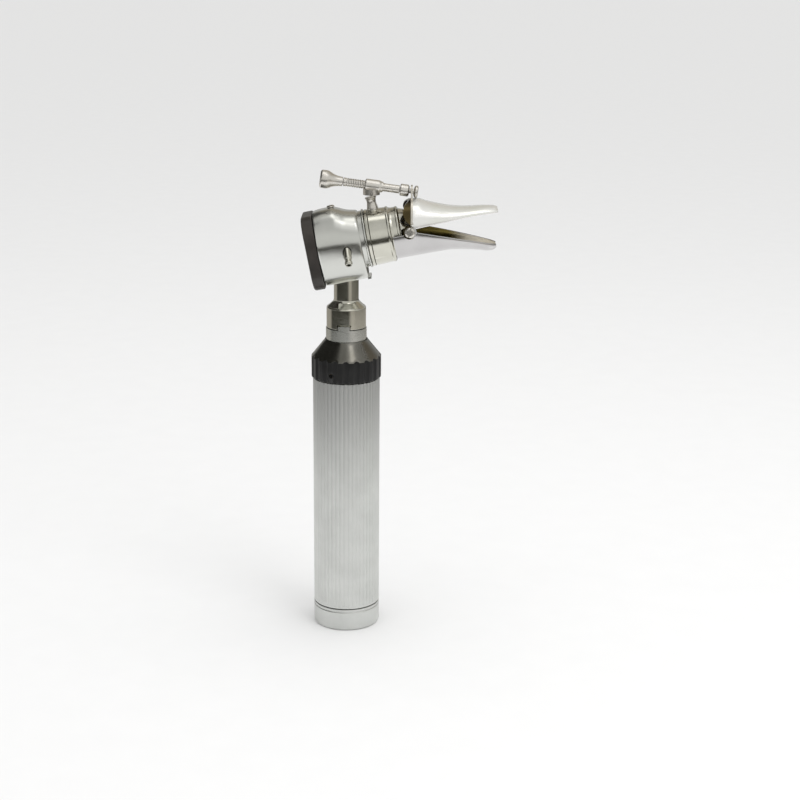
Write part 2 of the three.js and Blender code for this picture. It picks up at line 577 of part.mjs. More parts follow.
add(head, 'lens_frame', LOOKS.black(), lensFrame());
add(head, 'magnifier_lens', LOOKS.glass(), onLensAxis(turnedAlongX(LENS_PROFILE, 24)));
add(head, 'lens_retainer', LOOKS.black(), onLensAxis(turnedAlongX(closed(RETAINER_PROFILE), 24)));
add(head, 'lens_pivot_screw', LOOKS.steel(), onLensPivot(turnedAlongX(LENS_SCREW_PROFILE, 16)));

// ---------- speculum ----------
function coneBody() {
  const shell = turnedAlongX(closed(CONE_PROFILE), 28);
  const { radius, from, top, outerR, to } = NOSE_STEP;
  const sleeveRoom = turnedAlongX(ringProfile(radius, outerR, from, to), 28);
  const lowerHalf = block([to - from + OVERCUT, 3 * outerR, 2 * outerR], (from + to) / 2, 0, top - outerR);
  const postSeat = disc(POST.seatR, 8, POST.foot + OVERCUT).translate(POST.u, 0, 0);
  return cut(shell, keep(sleeveRoom, lowerHalf), postSeat);
}

// Most points go to the arc, from 0 to half a turn, and few to the flat that closes it.
const ARC_SHARE = 13 / 16;

function halfTurns(share) {
  const past = (share - ARC_SHARE) / (1 - ARC_SHARE);
  return Math.PI * (share < ARC_SHARE ? share / ARC_SHARE : 1 + past);
}

// A half-pipe of even sheet; up is 1 for a blade that arches upwards and -1 for one that hangs.
function blade(stations, rim, crown, halfWidth, up) {
  const section = (inset, past) => (u, share) => {
    const angle = halfTurns(up > 0 ? share : 1 - share) * up;
    const s = up * Math.sin(angle);
    const width = halfWidth(u) - inset;
    const height = s > 0 ? (Math.abs(crown(u) - rim(u)) - inset) * s : past * s;
    return [width * Math.cos(angle), rim(u) + up * height];
  };
  const middle = (u) => (rim(u) + crown(u)) / 2;
  const hollow = [stations[0] - 1, ...stations.slice(1, -1), stations[stations.length - 1] + 1];
  return cut(loft(stations, section(0, 0.01), middle, 16), loft(hollow, section(SHEET, OVERCUT), middle, 16));
}

const both = (make) => [make(1), make(-1)];
const atPivot = (geometry) => geometry.translate(PIVOT.u, 0, PIVOT.v);
const ears = (radius, inner) => both((side) => atPivot(discAlongY(radius, inner, inner + SHEET, side)));
const pivotHoles = () => both((side) => atPivot(
  discAlongY(PIVOT.holeR, PIVOT.innerEarY - OVERCUT, PIVOT.outerEarY + OVERCUT, side),
));

function lowerBlade() {
  const sheet = blade(LOWER.stations, graph(LOWER.rim), graph(LOWER.crown), graph(LOWER.halfWidth), -1);
  return cut(join(sheet, ...ears(PIVOT.lowerEarR, PIVOT.innerEarY)), ...pivotHoles());
}

const upperRim = graph(UPPER.rim);
const leverSlotZ = ROD.z - Math.tan(ROD.slope) * (LEVER.x + SHEET / 2);

// The lever stands upright behind the blade and arches over the cone.
function leverPlate() {
  const { archY, archZ, innerY, innerZ, halfWidth, shoulder } = LEVER;
  const z = HEAD.axisZ + Math.sin(HEAD.tilt) * LEVER.footU + Math.cos(HEAD.tilt) * upperRim(LEVER.footU);
  const tipZ = LEVER.top - halfWidth;
  const outline = new THREE.Shape();
  outline.absellipse(0, z, archY, archZ, 0, shoulder, false);
  outline.lineTo(halfWidth, tipZ);
  outline.absarc(0, tipZ, halfWidth, 0, Math.PI, false);
  outline.absellipse(0, z, archY, archZ, Math.PI - shoulder, Math.PI, false);
  outline.absellipse(0, z, innerY, innerZ, Math.PI, 0, true);
  const slot = new THREE.Path();
  slot.absellipse(0, leverSlotZ, LEVER.slotY, LEVER.slotZ, 0, TURN, false);
  outline.holes.push(slot);
  return verticalInHead(crossPlate(outline, LEVER.x, SHEET));
}

function upperBlade() {
  const sheet = blade(UPPER.stations, upperRim, graph(UPPER.crown), graph(UPPER.halfWidth), 1);
  const open = cut(sheet, sidePlate(UPPER.behind, 40));
  return cut(join(open, leverPlate(), ...ears(PIVOT.upperEarR, PIVOT.outerEarY)), ...pivotHoles());
}

function pivotScrew(side) {
  const { radius, headR, rim, crownR, height } = PIVOT_SCREW;
  const seat = PIVOT.outerEarY + SHEET + PIVOT_SCREW.washer;
  const screw = turned([
    [0, PIVOT_SCREW.from], [radius, PIVOT_SCREW.from], [radius, seat], [headR, seat], [headR, seat + rim],
    [crownR, seat + height], [0, seat + height],
  ], 14);
  return atPivot(screw.rotateX(-side * RIGHT_ANGLE));
}

add(head, 'speculum_body', LOOKS.chrome(), coneBody());
add(head, 'lower_blade', LOOKS.chrome(), lowerBlade());
add(head, 'upper_blade', LOOKS.chrome(), upperBlade());
add(head, 'pivot_screw_near', LOOKS.steel(), pivotScrew(-1));
add(head, 'pivot_screw_far', LOOKS.steel(), pivotScrew(1));

// ---------- adjusting screw on its post ----------
const atBlockPin = (geometry) => geometry.translate(BLOCK_PIN.u, 0, BLOCK_PIN.v);

function screwPost() {
  const stud = turned([
    [0, POST.pegBottom], [POST.pegR, POST.pegBottom], [POST.pegR, POST.foot], [POST.footR, POST.foot],
    [POST.footTopR, POST.footTop], [POST.waistR, POST.waist], [POST.flareR, POST.flare],
    [POST.topR, POST.top - POST.edge], [POST.topR, POST.top], [0, POST.top],
  ], 16).translate(POST.u, 0, 0);
  const root = POST.top - TONGUE.sink;
  const middle = (BLOCK_PIN.v + root) / 2;
  const tongue = block([TONGUE.depth, TONGUE.width, BLOCK_PIN.v - root], BLOCK_PIN.u, 0, middle);
  const tongueTop = atBlockPin(discAcrossY(TONGUE.topR, TONGUE.width));
  const pinHole = atBlockPin(discAcrossY(BLOCK_PIN.radius + TONGUE.clearance, BLOCK_PIN.length + OVERCUT));
  return cut(join(stud, tongue, tongueTop), pinHole);
}

const blockPin = (radius) => atBlockPin(discAcrossY(radius, BLOCK_PIN.length)).applyMatrix4(headToRod);

// A barrel round the screw on a round pad, with a pocket below for the post's tongue.
function swivelBlock() {
  const barrel = turnedAlongX(BARREL_PROFILE, 16);
  const pad = disc(PAD.radius, PAD.bottom, PAD.top, 24).translate(PAD.x, 0, 0);
  const pocket = block(PAD.pocket, PAD.x, 0, PAD.bottom);
  return cut(
    join(barrel, pad.applyMatrix4(worldToRod)),
    pocket.applyMatrix4(worldToRod),
    discAlongX(ROD.radius + ROD.clearance, ROD.boreFrom, ROD.boreTo, 24),
    blockPin(BLOCK_PIN.radius + ROD.clearance),
  );
}

add(head, 'screw_post', LOOKS.steel(), screwPost());
add(rod, 'swivel_block', LOOKS.steel(), swivelBlock());
add(rod, 'block_pivot_pin', LOOKS.steel(), blockPin(BLOCK_PIN.radius));
add(rod, 'adjusting_screw', LOOKS.steel(), turnedAlongX(ROD_PROFILE, 14));
add(rod, 'thumb_knob', LOOKS.steel(), turnedAlongX(KNOB_PROFILE, 20));
add(rod, 'end_collar', LOOKS.steel(), turnedAlongX(closed(COLLAR_PROFILE), 14));
add(rod, 'end_button', LOOKS.steel(), turnedAlongX(closed(BUTTON_PROFILE), 14));

export default otoscope;
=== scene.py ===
"""The looks of a battery otoscope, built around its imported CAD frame. Blender 4.5, metres, +Z up.

Shapes are drawn in millimetres in the frame of the part they belong to (the handle, the tilted head or the
adjusting rod), which is worked out from the record's joints, and each one stands for a CAD node.
"""
import json
import math

import bmesh
import bpy
from mathutils import Matrix, Vector


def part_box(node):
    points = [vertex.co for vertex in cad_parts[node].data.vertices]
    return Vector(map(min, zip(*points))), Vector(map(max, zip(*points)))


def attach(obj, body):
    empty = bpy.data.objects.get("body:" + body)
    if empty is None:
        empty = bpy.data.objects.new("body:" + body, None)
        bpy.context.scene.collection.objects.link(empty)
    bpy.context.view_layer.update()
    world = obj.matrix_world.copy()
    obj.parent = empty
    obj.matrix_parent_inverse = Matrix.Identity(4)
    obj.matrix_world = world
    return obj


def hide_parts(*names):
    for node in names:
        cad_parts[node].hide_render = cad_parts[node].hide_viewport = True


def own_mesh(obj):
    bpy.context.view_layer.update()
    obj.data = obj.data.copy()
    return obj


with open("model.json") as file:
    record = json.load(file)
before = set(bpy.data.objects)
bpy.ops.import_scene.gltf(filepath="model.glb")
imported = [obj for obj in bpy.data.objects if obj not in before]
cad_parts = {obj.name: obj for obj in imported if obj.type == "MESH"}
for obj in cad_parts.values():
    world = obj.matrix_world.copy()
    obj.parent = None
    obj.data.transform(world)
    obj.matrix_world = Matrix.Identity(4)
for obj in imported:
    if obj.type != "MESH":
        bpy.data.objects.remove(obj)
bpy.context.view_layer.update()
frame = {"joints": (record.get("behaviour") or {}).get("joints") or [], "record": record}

MM = 0.001
TURN = 2 * math.pi
RECORD = frame["record"]
JOINTS = {joint["name"]: joint for joint in frame["joints"]}
BODY_OF = {node: body for body, nodes in RECORD["behaviour"]["bodies"].items() for node in nodes}
SLOT_OF = {part["node"]: part["material_slot"] for part in RECORD["subparts"]}


# Heights above the speculum's axis: the blades' pivots, and the magnifier's pivot and lens.
PIVOT_V = 1.1
LENS_PIVOT_V = 12.0
LENS_V = -2.4


# ---------- frames ----------
def along_x(origin, axis):
    """A frame at origin, in metres, whose X runs along axis and whose Y is the row's Y."""
    x = Vector(axis).normalized()
    y = Vector((0, 1, 0))
    turned = Matrix((x, y, x.cross(y))).transposed().to_4x4()
    turned.translation = origin
    return turned


def head_frame():
    """The head's frame: its X is the speculum's axis, and it starts above the handle's centre."""
    axis = Vector(JOINTS["speculum_slide"]["axis"])
    up = axis.cross(Vector((0, 1, 0)))
    pivot = Vector(JOINTS["blade_open"]["pos_m"]) - up * PIVOT_V * MM
    return along_x(pivot - axis * (pivot.x / axis.x), axis)


WORLD = Matrix()
HEAD = head_frame()
ROD = along_x(JOINTS["knob_turn"]["pos_m"], JOINTS["knob_turn"]["axis"])
Z_TO_X = Matrix.Rotation(math.pi / 2, 4, "Y")


def at(x=0, y=0, z=0):
    """A move in millimetres, for shapes that are still in millimetres."""
    return Matrix.Translation((x, y, z))


def spin(degrees, axis):
    return Matrix.Rotation(math.radians(degrees), 4, axis)


def placed(base, move):
    """The frame base, moved by a matrix whose travel is in millimetres."""
    move = move.copy()
    move.translation *= MM
    return base @ move


def into(frame_matrix):
    """The move from the row's frame to another one, both in millimetres."""
    matrix = frame_matrix.inverted()
    matrix.translation /= MM
    return matrix


def polar(radius, angle, height):
    return radius * math.cos(angle), radius * math.sin(angle), height


def box_mm(node):
    """A CAD node's lowest and highest corner in millimetres."""
    low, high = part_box(node)
    return low / MM, high / MM


# ---------- mesh work, in millimetres ----------
def weld(points, faces, paint=None):
    """A closed mesh from points and faces; paint gives each face's material number from its middle."""
    mesh = bpy.data.meshes.new("shape")
    mesh.from_pydata(points, [], faces)
    work = bmesh.new()
    work.from_mesh(mesh)
    bmesh.ops.remove_doubles(work, verts=work.verts, dist=1e-4)
    bmesh.ops.dissolve_degenerate(work, edges=work.edges, dist=1e-5)
    bmesh.ops.recalc_face_normals(work, faces=work.faces)
    if paint:
        for face in work.faces:
            face.material_index = paint(face.calc_center_median())
    work.to_mesh(mesh)
    work.free()
    return mesh


def quads(rows, loop):
    """Faces over rows of points that close round; with loop, the last row also joins the first."""
    count = len(rows[0])
    faces = []
    for i in range(len(rows) if loop else len(rows) - 1):
        low, high = i * count, (i + 1) % len(rows) * count
        for j in range(count):
            k = (j + 1) % count
            faces.append((low + j, low + k, high + k, high + j))
    return faces


def skin(rows, loop, paint=None):
    return weld([point for row in rows for point in row], quads(rows, loop), paint)


def rounded(profile, fillet, steps=3):
    """The corners of a profile as small arcs. A third value on a point is its own fillet radius."""
    closed = profile[0][0] > 0
    count = len(profile)
    out = []
    for i, (r, h, *own) in enumerate(profile):
        here = Vector((r, h))
        if not closed and i in (0, count - 1):
            out.append(here)
            continue
        back = Vector(profile[i - 1][:2]) - here
        on = Vector(profile[(i + 1) % count][:2]) - here
        reach = min(own[0] if own else fillet, 0.45 * back.length, 0.45 * on.length)
        if reach < 1e-3 or back.angle(on) > math.radians(172):
            out.append(here)
            continue
        start, end = here + back.normalized() * reach, here + on.normalized() * reach
        for step in range(steps + 1):
            t = step / steps
            out.append(start * (1 - t) ** 2 + here * 2 * t * (1 - t) + end * t * t)
    return out


def turned_rows(profile, fillet, segments=64):
    """A profile of (radius, height) turned about Z, as rows of points."""
    ring = [TURN * j / segments for j in range(segments)]
    return [[polar(r, a, h) for a in ring] for r, h in rounded(profile, fillet)]


def lathe(profile, fillet=0.15, segments=96, paint=None):
    """A turned body. Its profile starts and ends on the axis, or closes on itself."""
    return skin(turned_rows(profile, fillet, segments), loop=profile[0][0] > 0, paint=paint)


def disc(radius, low, high, segments=48):
    return lathe([(0, low), (radius, low), (radius, high), (0, high)], 0, segments)


def slotted(profile, half, low, high, angle):
    """A turned screw with a driver's slot across its head."""
    slot = moved(slab((-half, -3, low), (half, 3, high)), spin(angle, "Z"))
    return cut(lathe(profile, 0.12, 48), slot)


def slab(low, high):
    """A plain block between two corners, for cutting with or joining on."""
    (x0, y0, z0), (x1, y1, z1) = low, high
    ring = [(x0, y0), (x1, y0), (x1, y1), (x0, y1)]
    points = [(x, y, z) for z in (z0, z1) for x, y in ring]
    sides = [(i, (i + 1) % 4, (i + 1) % 4 + 4, i + 4) for i in range(4)]
    return weld(points, [(3, 2, 1, 0), (4, 5, 6, 7), *sides])


def plate(outlines, low, high):
    """An outline in X and Y with depth from low to high along Z. Outlines after the first are holes."""
    work = bmesh.new()
    edges = []
    for outline in outlines:
        verts = [work.verts.new((x, y, low)) for x, y in outline]
        edges += [work.edges.new((verts[i - 1], verts[i])) for i in range(len(verts))]
    bmesh.ops.triangle_fill(work, edges=edges, use_beauty=True)
    bmesh.ops.dissolve_limit(work, angle_limit=0.01, verts=work.verts, edges=work.edges)
    grown = bmesh.ops.extrude_face_region(work, geom=list(work.faces))
    lifted = [item for item in grown["geom"] if isinstance(item, bmesh.types.BMVert)]
    bmesh.ops.translate(work, verts=lifted, vec=(0, 0, high - low))
    bmesh.ops.recalc_face_normals(work, faces=work.faces)
    mesh = bpy.data.meshes.new("plate")
    work.to_mesh(mesh)
    work.free()
    return mesh


def moved(mesh, matrix):
    mesh.transform(matrix)
    return mesh


def carve(base, *steps):
    """The base mesh after steps of (operation, tool mesh), by Boolean modifiers."""
    scene = bpy.context.scene.collection
    work = bpy.data.objects.new("work", base)
    scene.objects.link(work)
    tools = []
    for operation, tool_mesh in steps:
        tool = bpy.data.objects.new("tool", tool_mesh)
        scene.objects.link(tool)
        tools.append(tool)
        modifier = work.modifiers.new("step", "BOOLEAN")
        modifier.operation = operation
        modifier.solver = "MANIFOLD"
        modifier.object = tool
    evaluated = work.evaluated_get(bpy.context.evaluated_depsgraph_get())
    result = bpy.data.meshes.new_from_object(evaluated)
    for made in [work, *tools]:
        bpy.data.objects.remove(made)
    return result


def cut(base, *tools):
    return carve(base, *[("DIFFERENCE", tool) for tool in tools])


def join(base, *parts):
    return carve(base, *[("UNION", part) for part in parts])


def keep(base, tool):
    return carve(base, ("INTERSECT", tool))


def curve_through(pairs):
    """A smooth function through (position, value) pairs that never overshoots them."""
    xs, ys = [p[0] for p in pairs], [p[1] for p in pairs]
    slopes = [(ys[i + 1] - ys[i]) / (xs[i + 1] - xs[i]) for i in range(len(xs) - 1)]
    between = [0 if a * b <= 0 else 2 * a * b / (a + b) for a, b in zip(slopes, slopes[1:])]
    tangents = [slopes[0], *between, slopes[-1]]

    def value(x):
        x = min(max(x, xs[0]), xs[-1])
        i = max(k for k in range(len(xs) - 1) if xs[k] <= x)
        span = xs[i + 1] - xs[i]
        t = (x - xs[i]) / span
        return (
            ys[i] * (2 * t**3 - 3 * t**2 + 1) + tangents[i] * span * (t**3 - 2 * t**2 + t)
            + ys[i + 1] * (3 * t**2 - 2 * t**3) + tangents[i + 1] * span * (t**3 - t**2)
        )

    return value


def spread(low, high, count):
    return [low + (high - low) * i / (count - 1) for i in range(count)]


def capped(rows):
    """Rows with a point in the middle of each end, so that they close."""
    ends = []
    for row in (rows[0], rows[-1]):
        middle = tuple(sum((Vector(p) for p in row), Vector()) / len(row))
        ends.append([middle] * len(row))
    return [ends[0], *rows, ends[1]]


def coil(path, turns, wire, per_turn=32, around=10):
    """A round wire wound about Z; path(t) gives its (radius, height) for t from 0 to 1."""
    def point(t):
        radius, height = path(t)
        return Vector(polar(radius, TURN * turns * t, height))

    rows = []
    steps = int(turns * per_turn)
    for i in range(steps + 1):
        t = i / steps
        tangent = (point(min(t + 1e-3, 1)) - point(max(t - 1e-3, 0))).normalized()
        side = tangent.cross(Vector((0, 0, 1))).normalized()
        up = side.cross(tangent)
        ring = [TURN * k / around for k in range(around)]
        rows.append([tuple(point(t) + (side * math.cos(a) + up * math.sin(a)) * wire) for a in ring])
    return skin(capped(rows), loop=False)


def straight(radius, foot, length):
    """The path of a coil of one radius, from foot up."""
    return lambda t: (radius, foot + length * t)


def thread(radius, depth, lead, starts, low, high, segments=64):
    """The outside of a threaded length as rows of points, fading in and out over half a lead."""
    rows = []
    pitch = lead / starts
    for h in spread(low, high, int((high - low) / pitch * 6) + 1):
        fade = min(1, (h - low) / pitch, (high - h) / pitch)
        row = []
        for j in range(segments):
            wave = (h / pitch - starts * j / segments) % 1
            r = radius - depth * fade * (1 - abs(2 * wave - 1)) ** 0.8
            row.append(polar(r, TURN * j / segments, h))
        rows.append(row)
    return rows


# ---------- nodes and materials ----------
class Nodes:
    """Short ways to add nodes to a tree. A value can be a socket, a number or a colour."""

    def __init__(self, tree):
        self.tree = tree

    def node(self, kind, values=None, **settings):
        made = self.tree.nodes.new(kind)
        for key, value in settings.items():
            setattr(made, key, value)
        for key, value in (values or {}).items():
            if isinstance(value, bpy.types.NodeSocket):
                self.tree.links.new(value, made.inputs[key])
            else:
                made.inputs[key].default_value = value
        return made

    def ramp(self, value, *stops):
        """A colour ramp of (position, grey or colour) stops."""
        made = self.node("ShaderNodeValToRGB", {"Fac": value})
        elements = made.color_ramp.elements
        while len(elements) < len(stops):
            elements.new(0.5)
        for element, (position, colour) in zip(elements, stops):
            element.position = position
            element.color = (*([colour] * 3 if isinstance(colour, (int, float)) else colour), 1)
        return made.outputs["Color"]

    def mix(self, share, first, second):
        """The first colour where share is 0, and the second where it is 1."""
        first, second = [(*c, 1) if isinstance(c, tuple) else c for c in (first, second)]
        return self.node("ShaderNodeMix", {0: share, 6: first, 7: second}, data_type="RGBA").outputs[2]

    def maths(self, operation, *values):
        return self.node("ShaderNodeMath", dict(enumerate(values)), operation=operation).outputs[0]

    def product(self, first, second):
        return self.maths("MULTIPLY", first, second)

    def rise(self, value, low, high):
        """0 at low and 1 at high, smooth between them."""
        values = {"Value": value, "From Min": low, "From Max": high}
        return self.node("ShaderNodeMapRange", values, interpolation_type="SMOOTHSTEP").outputs["Result"]

    def parts(self, vector):
        return self.node("ShaderNodeSeparateXYZ", {"Vector": vector}).outputs

    def bearing(self, parts):
        """The compass angle of a vector: 0 straight ahead (-Y), positive to the right."""
        return self.maths("ARCTAN2", parts["X"], self.product(parts["Y"], -1.0))


class Shader(Nodes):
    """One procedural material: a Principled shader with its colour, roughness and bump from nodes."""

    def __init__(self, name, **values):
        self.material = bpy.data.materials.new(name)
        self.material.use_nodes = True
        super().__init__(self.material.node_tree)
        self.bsdf = self.tree.nodes["Principled BSDF"]
        for key, value in values.items():
            self.bsdf.inputs[key.replace("_", " ")].default_value = value
        self.place = self.node("ShaderNodeAttribute", attribute_name="place").outputs["Vector"]

    def noise(self, stretch, detail=3.0):
        """Noise from 0 to 1 on the piece's own place; stretch holds its frequency per metre along X, Y, Z."""
        mapped = self.node("ShaderNodeMapping", {"Vector": self.place, "Scale": stretch}).outputs["Vector"]
        values = {"Vector": mapped, "Scale": 1.0, "Detail": detail}
        return self.node("ShaderNodeTexNoise", values).outputs["Fac"]

    def band(self, value, low, high):
        """A value from 0 to 1 spread over low to high."""
        made = self.node("ShaderNodeMapRange", {"Value": value, "To Min": low, "To Max": high})
        return made.outputs["Result"]

    def worn(self):
        """1 on sharp outer edges, 0 elsewhere."""
        edge = self.node("ShaderNodeNewGeometry").outputs["Pointiness"]
        return self.ramp(edge, (0.53, 0.0), (0.62, 1.0))

    def along(self, axis, stretch):
        """0 to 1 over a stretch of the piece's own place, in metres."""
        return self.rise(self.parts(self.place)[axis], *stretch)

    def drive(self, **sources):
        for key, source in sources.items():
            self.tree.links.new(source, self.bsdf.inputs[key.replace("_", " ")])

    def overlay(self, share, colour):
        """Lay a colour over the base colour where share is 1."""
        under = self.bsdf.inputs["Base Color"].links[0].from_socket
        self.drive(Base_Color=self.mix(share, under, colour))

    def bump(self, *layers):
        """Bumps of (height, distance in metres) laid one over another."""
        normal = None
        for height, distance in layers:
            values = {"Height": height, "Distance": distance, "Strength": 1.0}
            if normal:
                values["Normal"] = normal
            normal = self.node("ShaderNodeBump", values).outputs["Normal"]
        self.tree.links.new(normal, self.bsdf.inputs["Normal"])


TURNING, GRINDING = (300, 300, 9000), (900, 900, 900)
SMUDGES, SPECKS = (90, 90, 90), (900, 900, 900)
LINE_DEPTH = 2e-6
EDGE_SHINE = 1.12
LIT_BLADE_METALLIC = 0.62
EDGE_GREY = (0.05, 0.05, 0.05)
# Painted shade: the tube's colour darkens towards the ring over this stretch of height (metres), standing in
# for a dark reflection.
PAINTED_SHADE_SPAN, PAINTED_SHADE_TONE = (0.06, 0.122), (0.45, 0.455, 0.445)
# Painted reflection: over this stretch along the head's axis the lower blade's inside turns to a pale, barely
# metallic tone, as if lit by the upper blade above it.
PAINTED_SHEEN_STRETCH, PAINTED_SHEEN_TONE, PAINTED_SHEEN_METALLIC = (0.043, 0.053), (0.79, 0.74, 0.63), 0.12

# look: (material, darker colour, lighter colour, roughness range, machining lines, their depth)
METALS = {
    "satin_tube": ("satin_aluminium", (0.60, 0.61, 0.59), (0.68, 0.69, 0.67), (0.36, 0.46), (2500, 2500, 60)),
    "chrome": ("olive_chrome", (0.60, 0.59, 0.52), (0.70, 0.69, 0.62), (0.10, 0.20)),
    "satin_chrome": (
        "satin_chrome", (0.645, 0.65, 0.62), (0.67, 0.675, 0.645), (0.20, 0.25), (700, 700, 700), 6e-7,
    ),
    "brushed_collar": ("brushed_collar", (0.52, 0.53, 0.49), (0.60, 0.60, 0.57), (0.22, 0.32)),
    "nickel_steel": ("warm_nickel", (0.72, 0.69, 0.64), (0.80, 0.775, 0.73), (0.26, 0.36)),
    "black_steel": ("black_oxide", (0.02, 0.02, 0.02), (0.04, 0.04, 0.04), (0.35, 0.5)),
    "brass": ("brass", (0.62, 0.44, 0.17), (0.74, 0.55, 0.24), (0.2, 0.36)),
    "spring_steel": ("spring_steel", (0.42, 0.41, 0.39), (0.55, 0.54, 0.52), (0.22, 0.36)),
    "dark_cone": ("smoked_chrome", (0.16, 0.155, 0.135), (0.22, 0.215, 0.195), (0.14, 0.22)),
    # Painted reflection: dark olive for the upper blade's inside and its part behind the lever, in place of
    # the dark surroundings that bare metal there reflects.
    "blade_dark_painted_reflection": ("olive_lip", (0.06, 0.045, 0.02), (0.12, 0.095, 0.045), (0.18, 0.28)),
    # Painted reflection: gold olive for the lower blade's inside, in place of the warm surroundings that bare
    # metal there reflects.
    "blade_gold_painted_reflection": ("gold_inside", (0.24, 0.19, 0.05), (0.34, 0.27, 0.08), (0.24, 0.34)),
    # Painted light: the blades' outsides are one metal in two copies, a lighter lit one for the upper blade
    # and a darker shaded one for the lower blade.
    "blade_chrome": ("blade_chrome", (0.78, 0.785, 0.735), (0.84, 0.83, 0.825), (0.18, 0.26), GRINDING),
    "blade_shaded_copy": ("blade_underside", (0.56, 0.55, 0.55), (0.62, 0.61, 0.61), (0.18, 0.26), GRINDING),
    "lever_edge": ("lever_edge", (0.52, 0.49, 0.43), (0.62, 0.59, 0.53), (0.26, 0.36)),
}

# look: (material, cloud and its detail, darker colour, lighter colour, roughness range, grain and its detail,
# bump depth, other values)
COATINGS = {
    "dark_ring": (
        "knurl_black", (120, 120, 120), 3, 0.006, 0.012, (0.26, 0.42), (2600, 2600, 2600), 3, 8e-6,
        {"Specular_IOR_Level": 0.3},
    ),
    "black_frame": (
        "moulded_black", (90, 90, 90), 3, (0.020, 0.017, 0.015), (0.042, 0.035, 0.030), (0.3, 0.5),
        (1700, 1700, 1700), 4, 1.4e-5, {},
    ),
    "phenolic": (
        "phenolic", (500, 500, 3000), 4, (0.09, 0.045, 0.022), (0.16, 0.085, 0.045), (0.4, 0.65),
        (500, 500, 3000), 4, 1e-5, {},
    ),
    "cell_jacket": (
        "cell_sleeve", (150, 150, 150), 3, (0.05, 0.075, 0.11), (0.075, 0.105, 0.15), (0.3, 0.45),
        (60, 60, 500), 2, 2e-5, {"Coat_Weight": 0.5, "Coat_Roughness": 0.15},
    ),
    "clear_glass": (
        "clear_glass", (220, 220, 220), 4, (0.93, 0.95, 0.95), (0.97, 0.99, 0.985), (0.0, 0.05),
        None, 0, 0, {"IOR": 1.5, "Transmission_Weight": 1.0},
    ),
}


def metal(name, dark, light, rough, lines=TURNING, depth=LINE_DEPTH):
    """Bare or plated metal: machining lines, soft smudges in gloss, and a tint that drifts a little."""
    shader = Shader(name, Metallic=1.0)
    smudge = shader.noise(SMUDGES, detail=4)
    fine = shader.noise(lines, detail=2)
    speck = shader.noise(SPECKS, detail=1)
    shader.drive(Base_Color=shader.ramp(smudge, (0.32, dark), (0.68, light)))
    shader.overlay(shader.worn(), tuple(min(1.0, c * EDGE_SHINE) for c in light))
    gloss = {"Value": shader.maths("ADD", smudge, fine), "From Min": 0.7, "From Max": 1.3}
    gloss.update({"To Min": rough[0], "To Max": rough[1]})
    shader.drive(Roughness=shader.node("ShaderNodeMapRange", gloss).outputs["Result"])
    shader.bump((fine, depth), (speck, depth * 0.6))
    return shader


def coating(name, cloud, detail, dark, light, rough, grain, grain_detail, depth, values):
    """Paint, plastic or glass: one cloud of noise drives its colour and gloss, and a grain its bump."""
    shader = Shader(name, Metallic=0.0, **values)
    haze = shader.noise(cloud, detail)
    shader.drive(Base_Color=shader.ramp(haze, (0.3, dark), (0.7, light)), Roughness=shader.band(haze, *rough))
    if grain:
        shader.bump((shader.noise(grain, grain_detail), depth))
    return shader


def make_looks():
    made = {look: metal(*row) for look, row in METALS.items()}
    made.update({look: coating(*row) for look, row in COATINGS.items()})
    made["dark_ring"].overlay(made["dark_ring"].worn(), EDGE_GREY)
    tube = made["satin_tube"]
    # Painted shade: the satin tube is given a darker tone towards its top.
    tube.overlay(tube.along("Z", PAINTED_SHADE_SPAN), PAINTED_SHADE_TONE)
    # Painted light: the upper blade's lit copy is made partly non-metallic so that it reads lighter all over.
    made["blade_chrome"].bsdf.inputs["Metallic"].default_value = LIT_BLADE_METALLIC
    # Painted reflection: the lower blade's inside is gold olive, turning pale and less metallic towards the
    # tip.
    inside = made["blade_gold_painted_reflection"]
    pale = inside.along("X", PAINTED_SHEEN_STRETCH)
    inside.overlay(pale, PAINTED_SHEEN_TONE)
    inside.drive(Metallic=inside.band(pale, 1.0, PAINTED_SHEEN_METALLIC))
    return {look: shader.material for look, shader in made.items()}


LOOKS = make_looks()


# ---------- placing ----------
def piece(node, mesh, where=WORLD, looks=None, bevel=0.0, sharp=32, paint=None):
    """The finished object for a CAD node: smooth with crisp edges, on its body, in its slot's material.

    The mesh is put in place before the object is made. Its own frame stays on it as the attribute "place".
    paint gives each face's material number from its middle, in millimetres in that frame.
    """
    if paint:
        for face in mesh.polygons:
            face.material_index = paint(face.center)
    kinds = [face.material_index for face in mesh.polygons]
    mesh.transform(Matrix.Scale(MM, 4))
    place = mesh.attributes.new("place", "FLOAT_VECTOR", "POINT")
    place.data.foreach_set("vector", [value for vertex in mesh.vertices for value in vertex.co])
    mesh.transform(where)
    mesh.shade_smooth()
    mesh.set_sharp_from_angle(angle=math.radians(sharp))
    mesh.materials.clear()
    for look in looks or [SLOT_OF[node]]:
        mesh.materials.append(LOOKS[look])
    mesh.polygons.foreach_set("material_index", kinds)
    made = bpy.data.objects.new("fine_" + node, mesh)
    bpy.context.scene.collection.objects.link(made)
    if bevel:
        edge = made.modifiers.new("edge", "BEVEL")
        edge.width = bevel * MM
        edge.segments = 2
        edge.limit_method = "ANGLE"
        edge.angle_limit = math.radians(sharp)
        edge.harden_normals = False
    weighted = made.modifiers.new("normals", "WEIGHTED_NORMAL")
    weighted.keep_sharp = True
    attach(made, BODY_OF[node])
    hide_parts(node)
    return made


# ---------- handle ----------
DETENT_HEIGHT, INDEX_HEIGHT = 116.9, 118.6
INDEX_ANGLE = math.radians(-114)
TO_INDEX = Matrix.Rotation(INDEX_ANGLE, 4, "Z")
INDEX_AXIS = at(z=INDEX_HEIGHT) @ TO_INDEX @ Z_TO_X
WINDING = 0.18


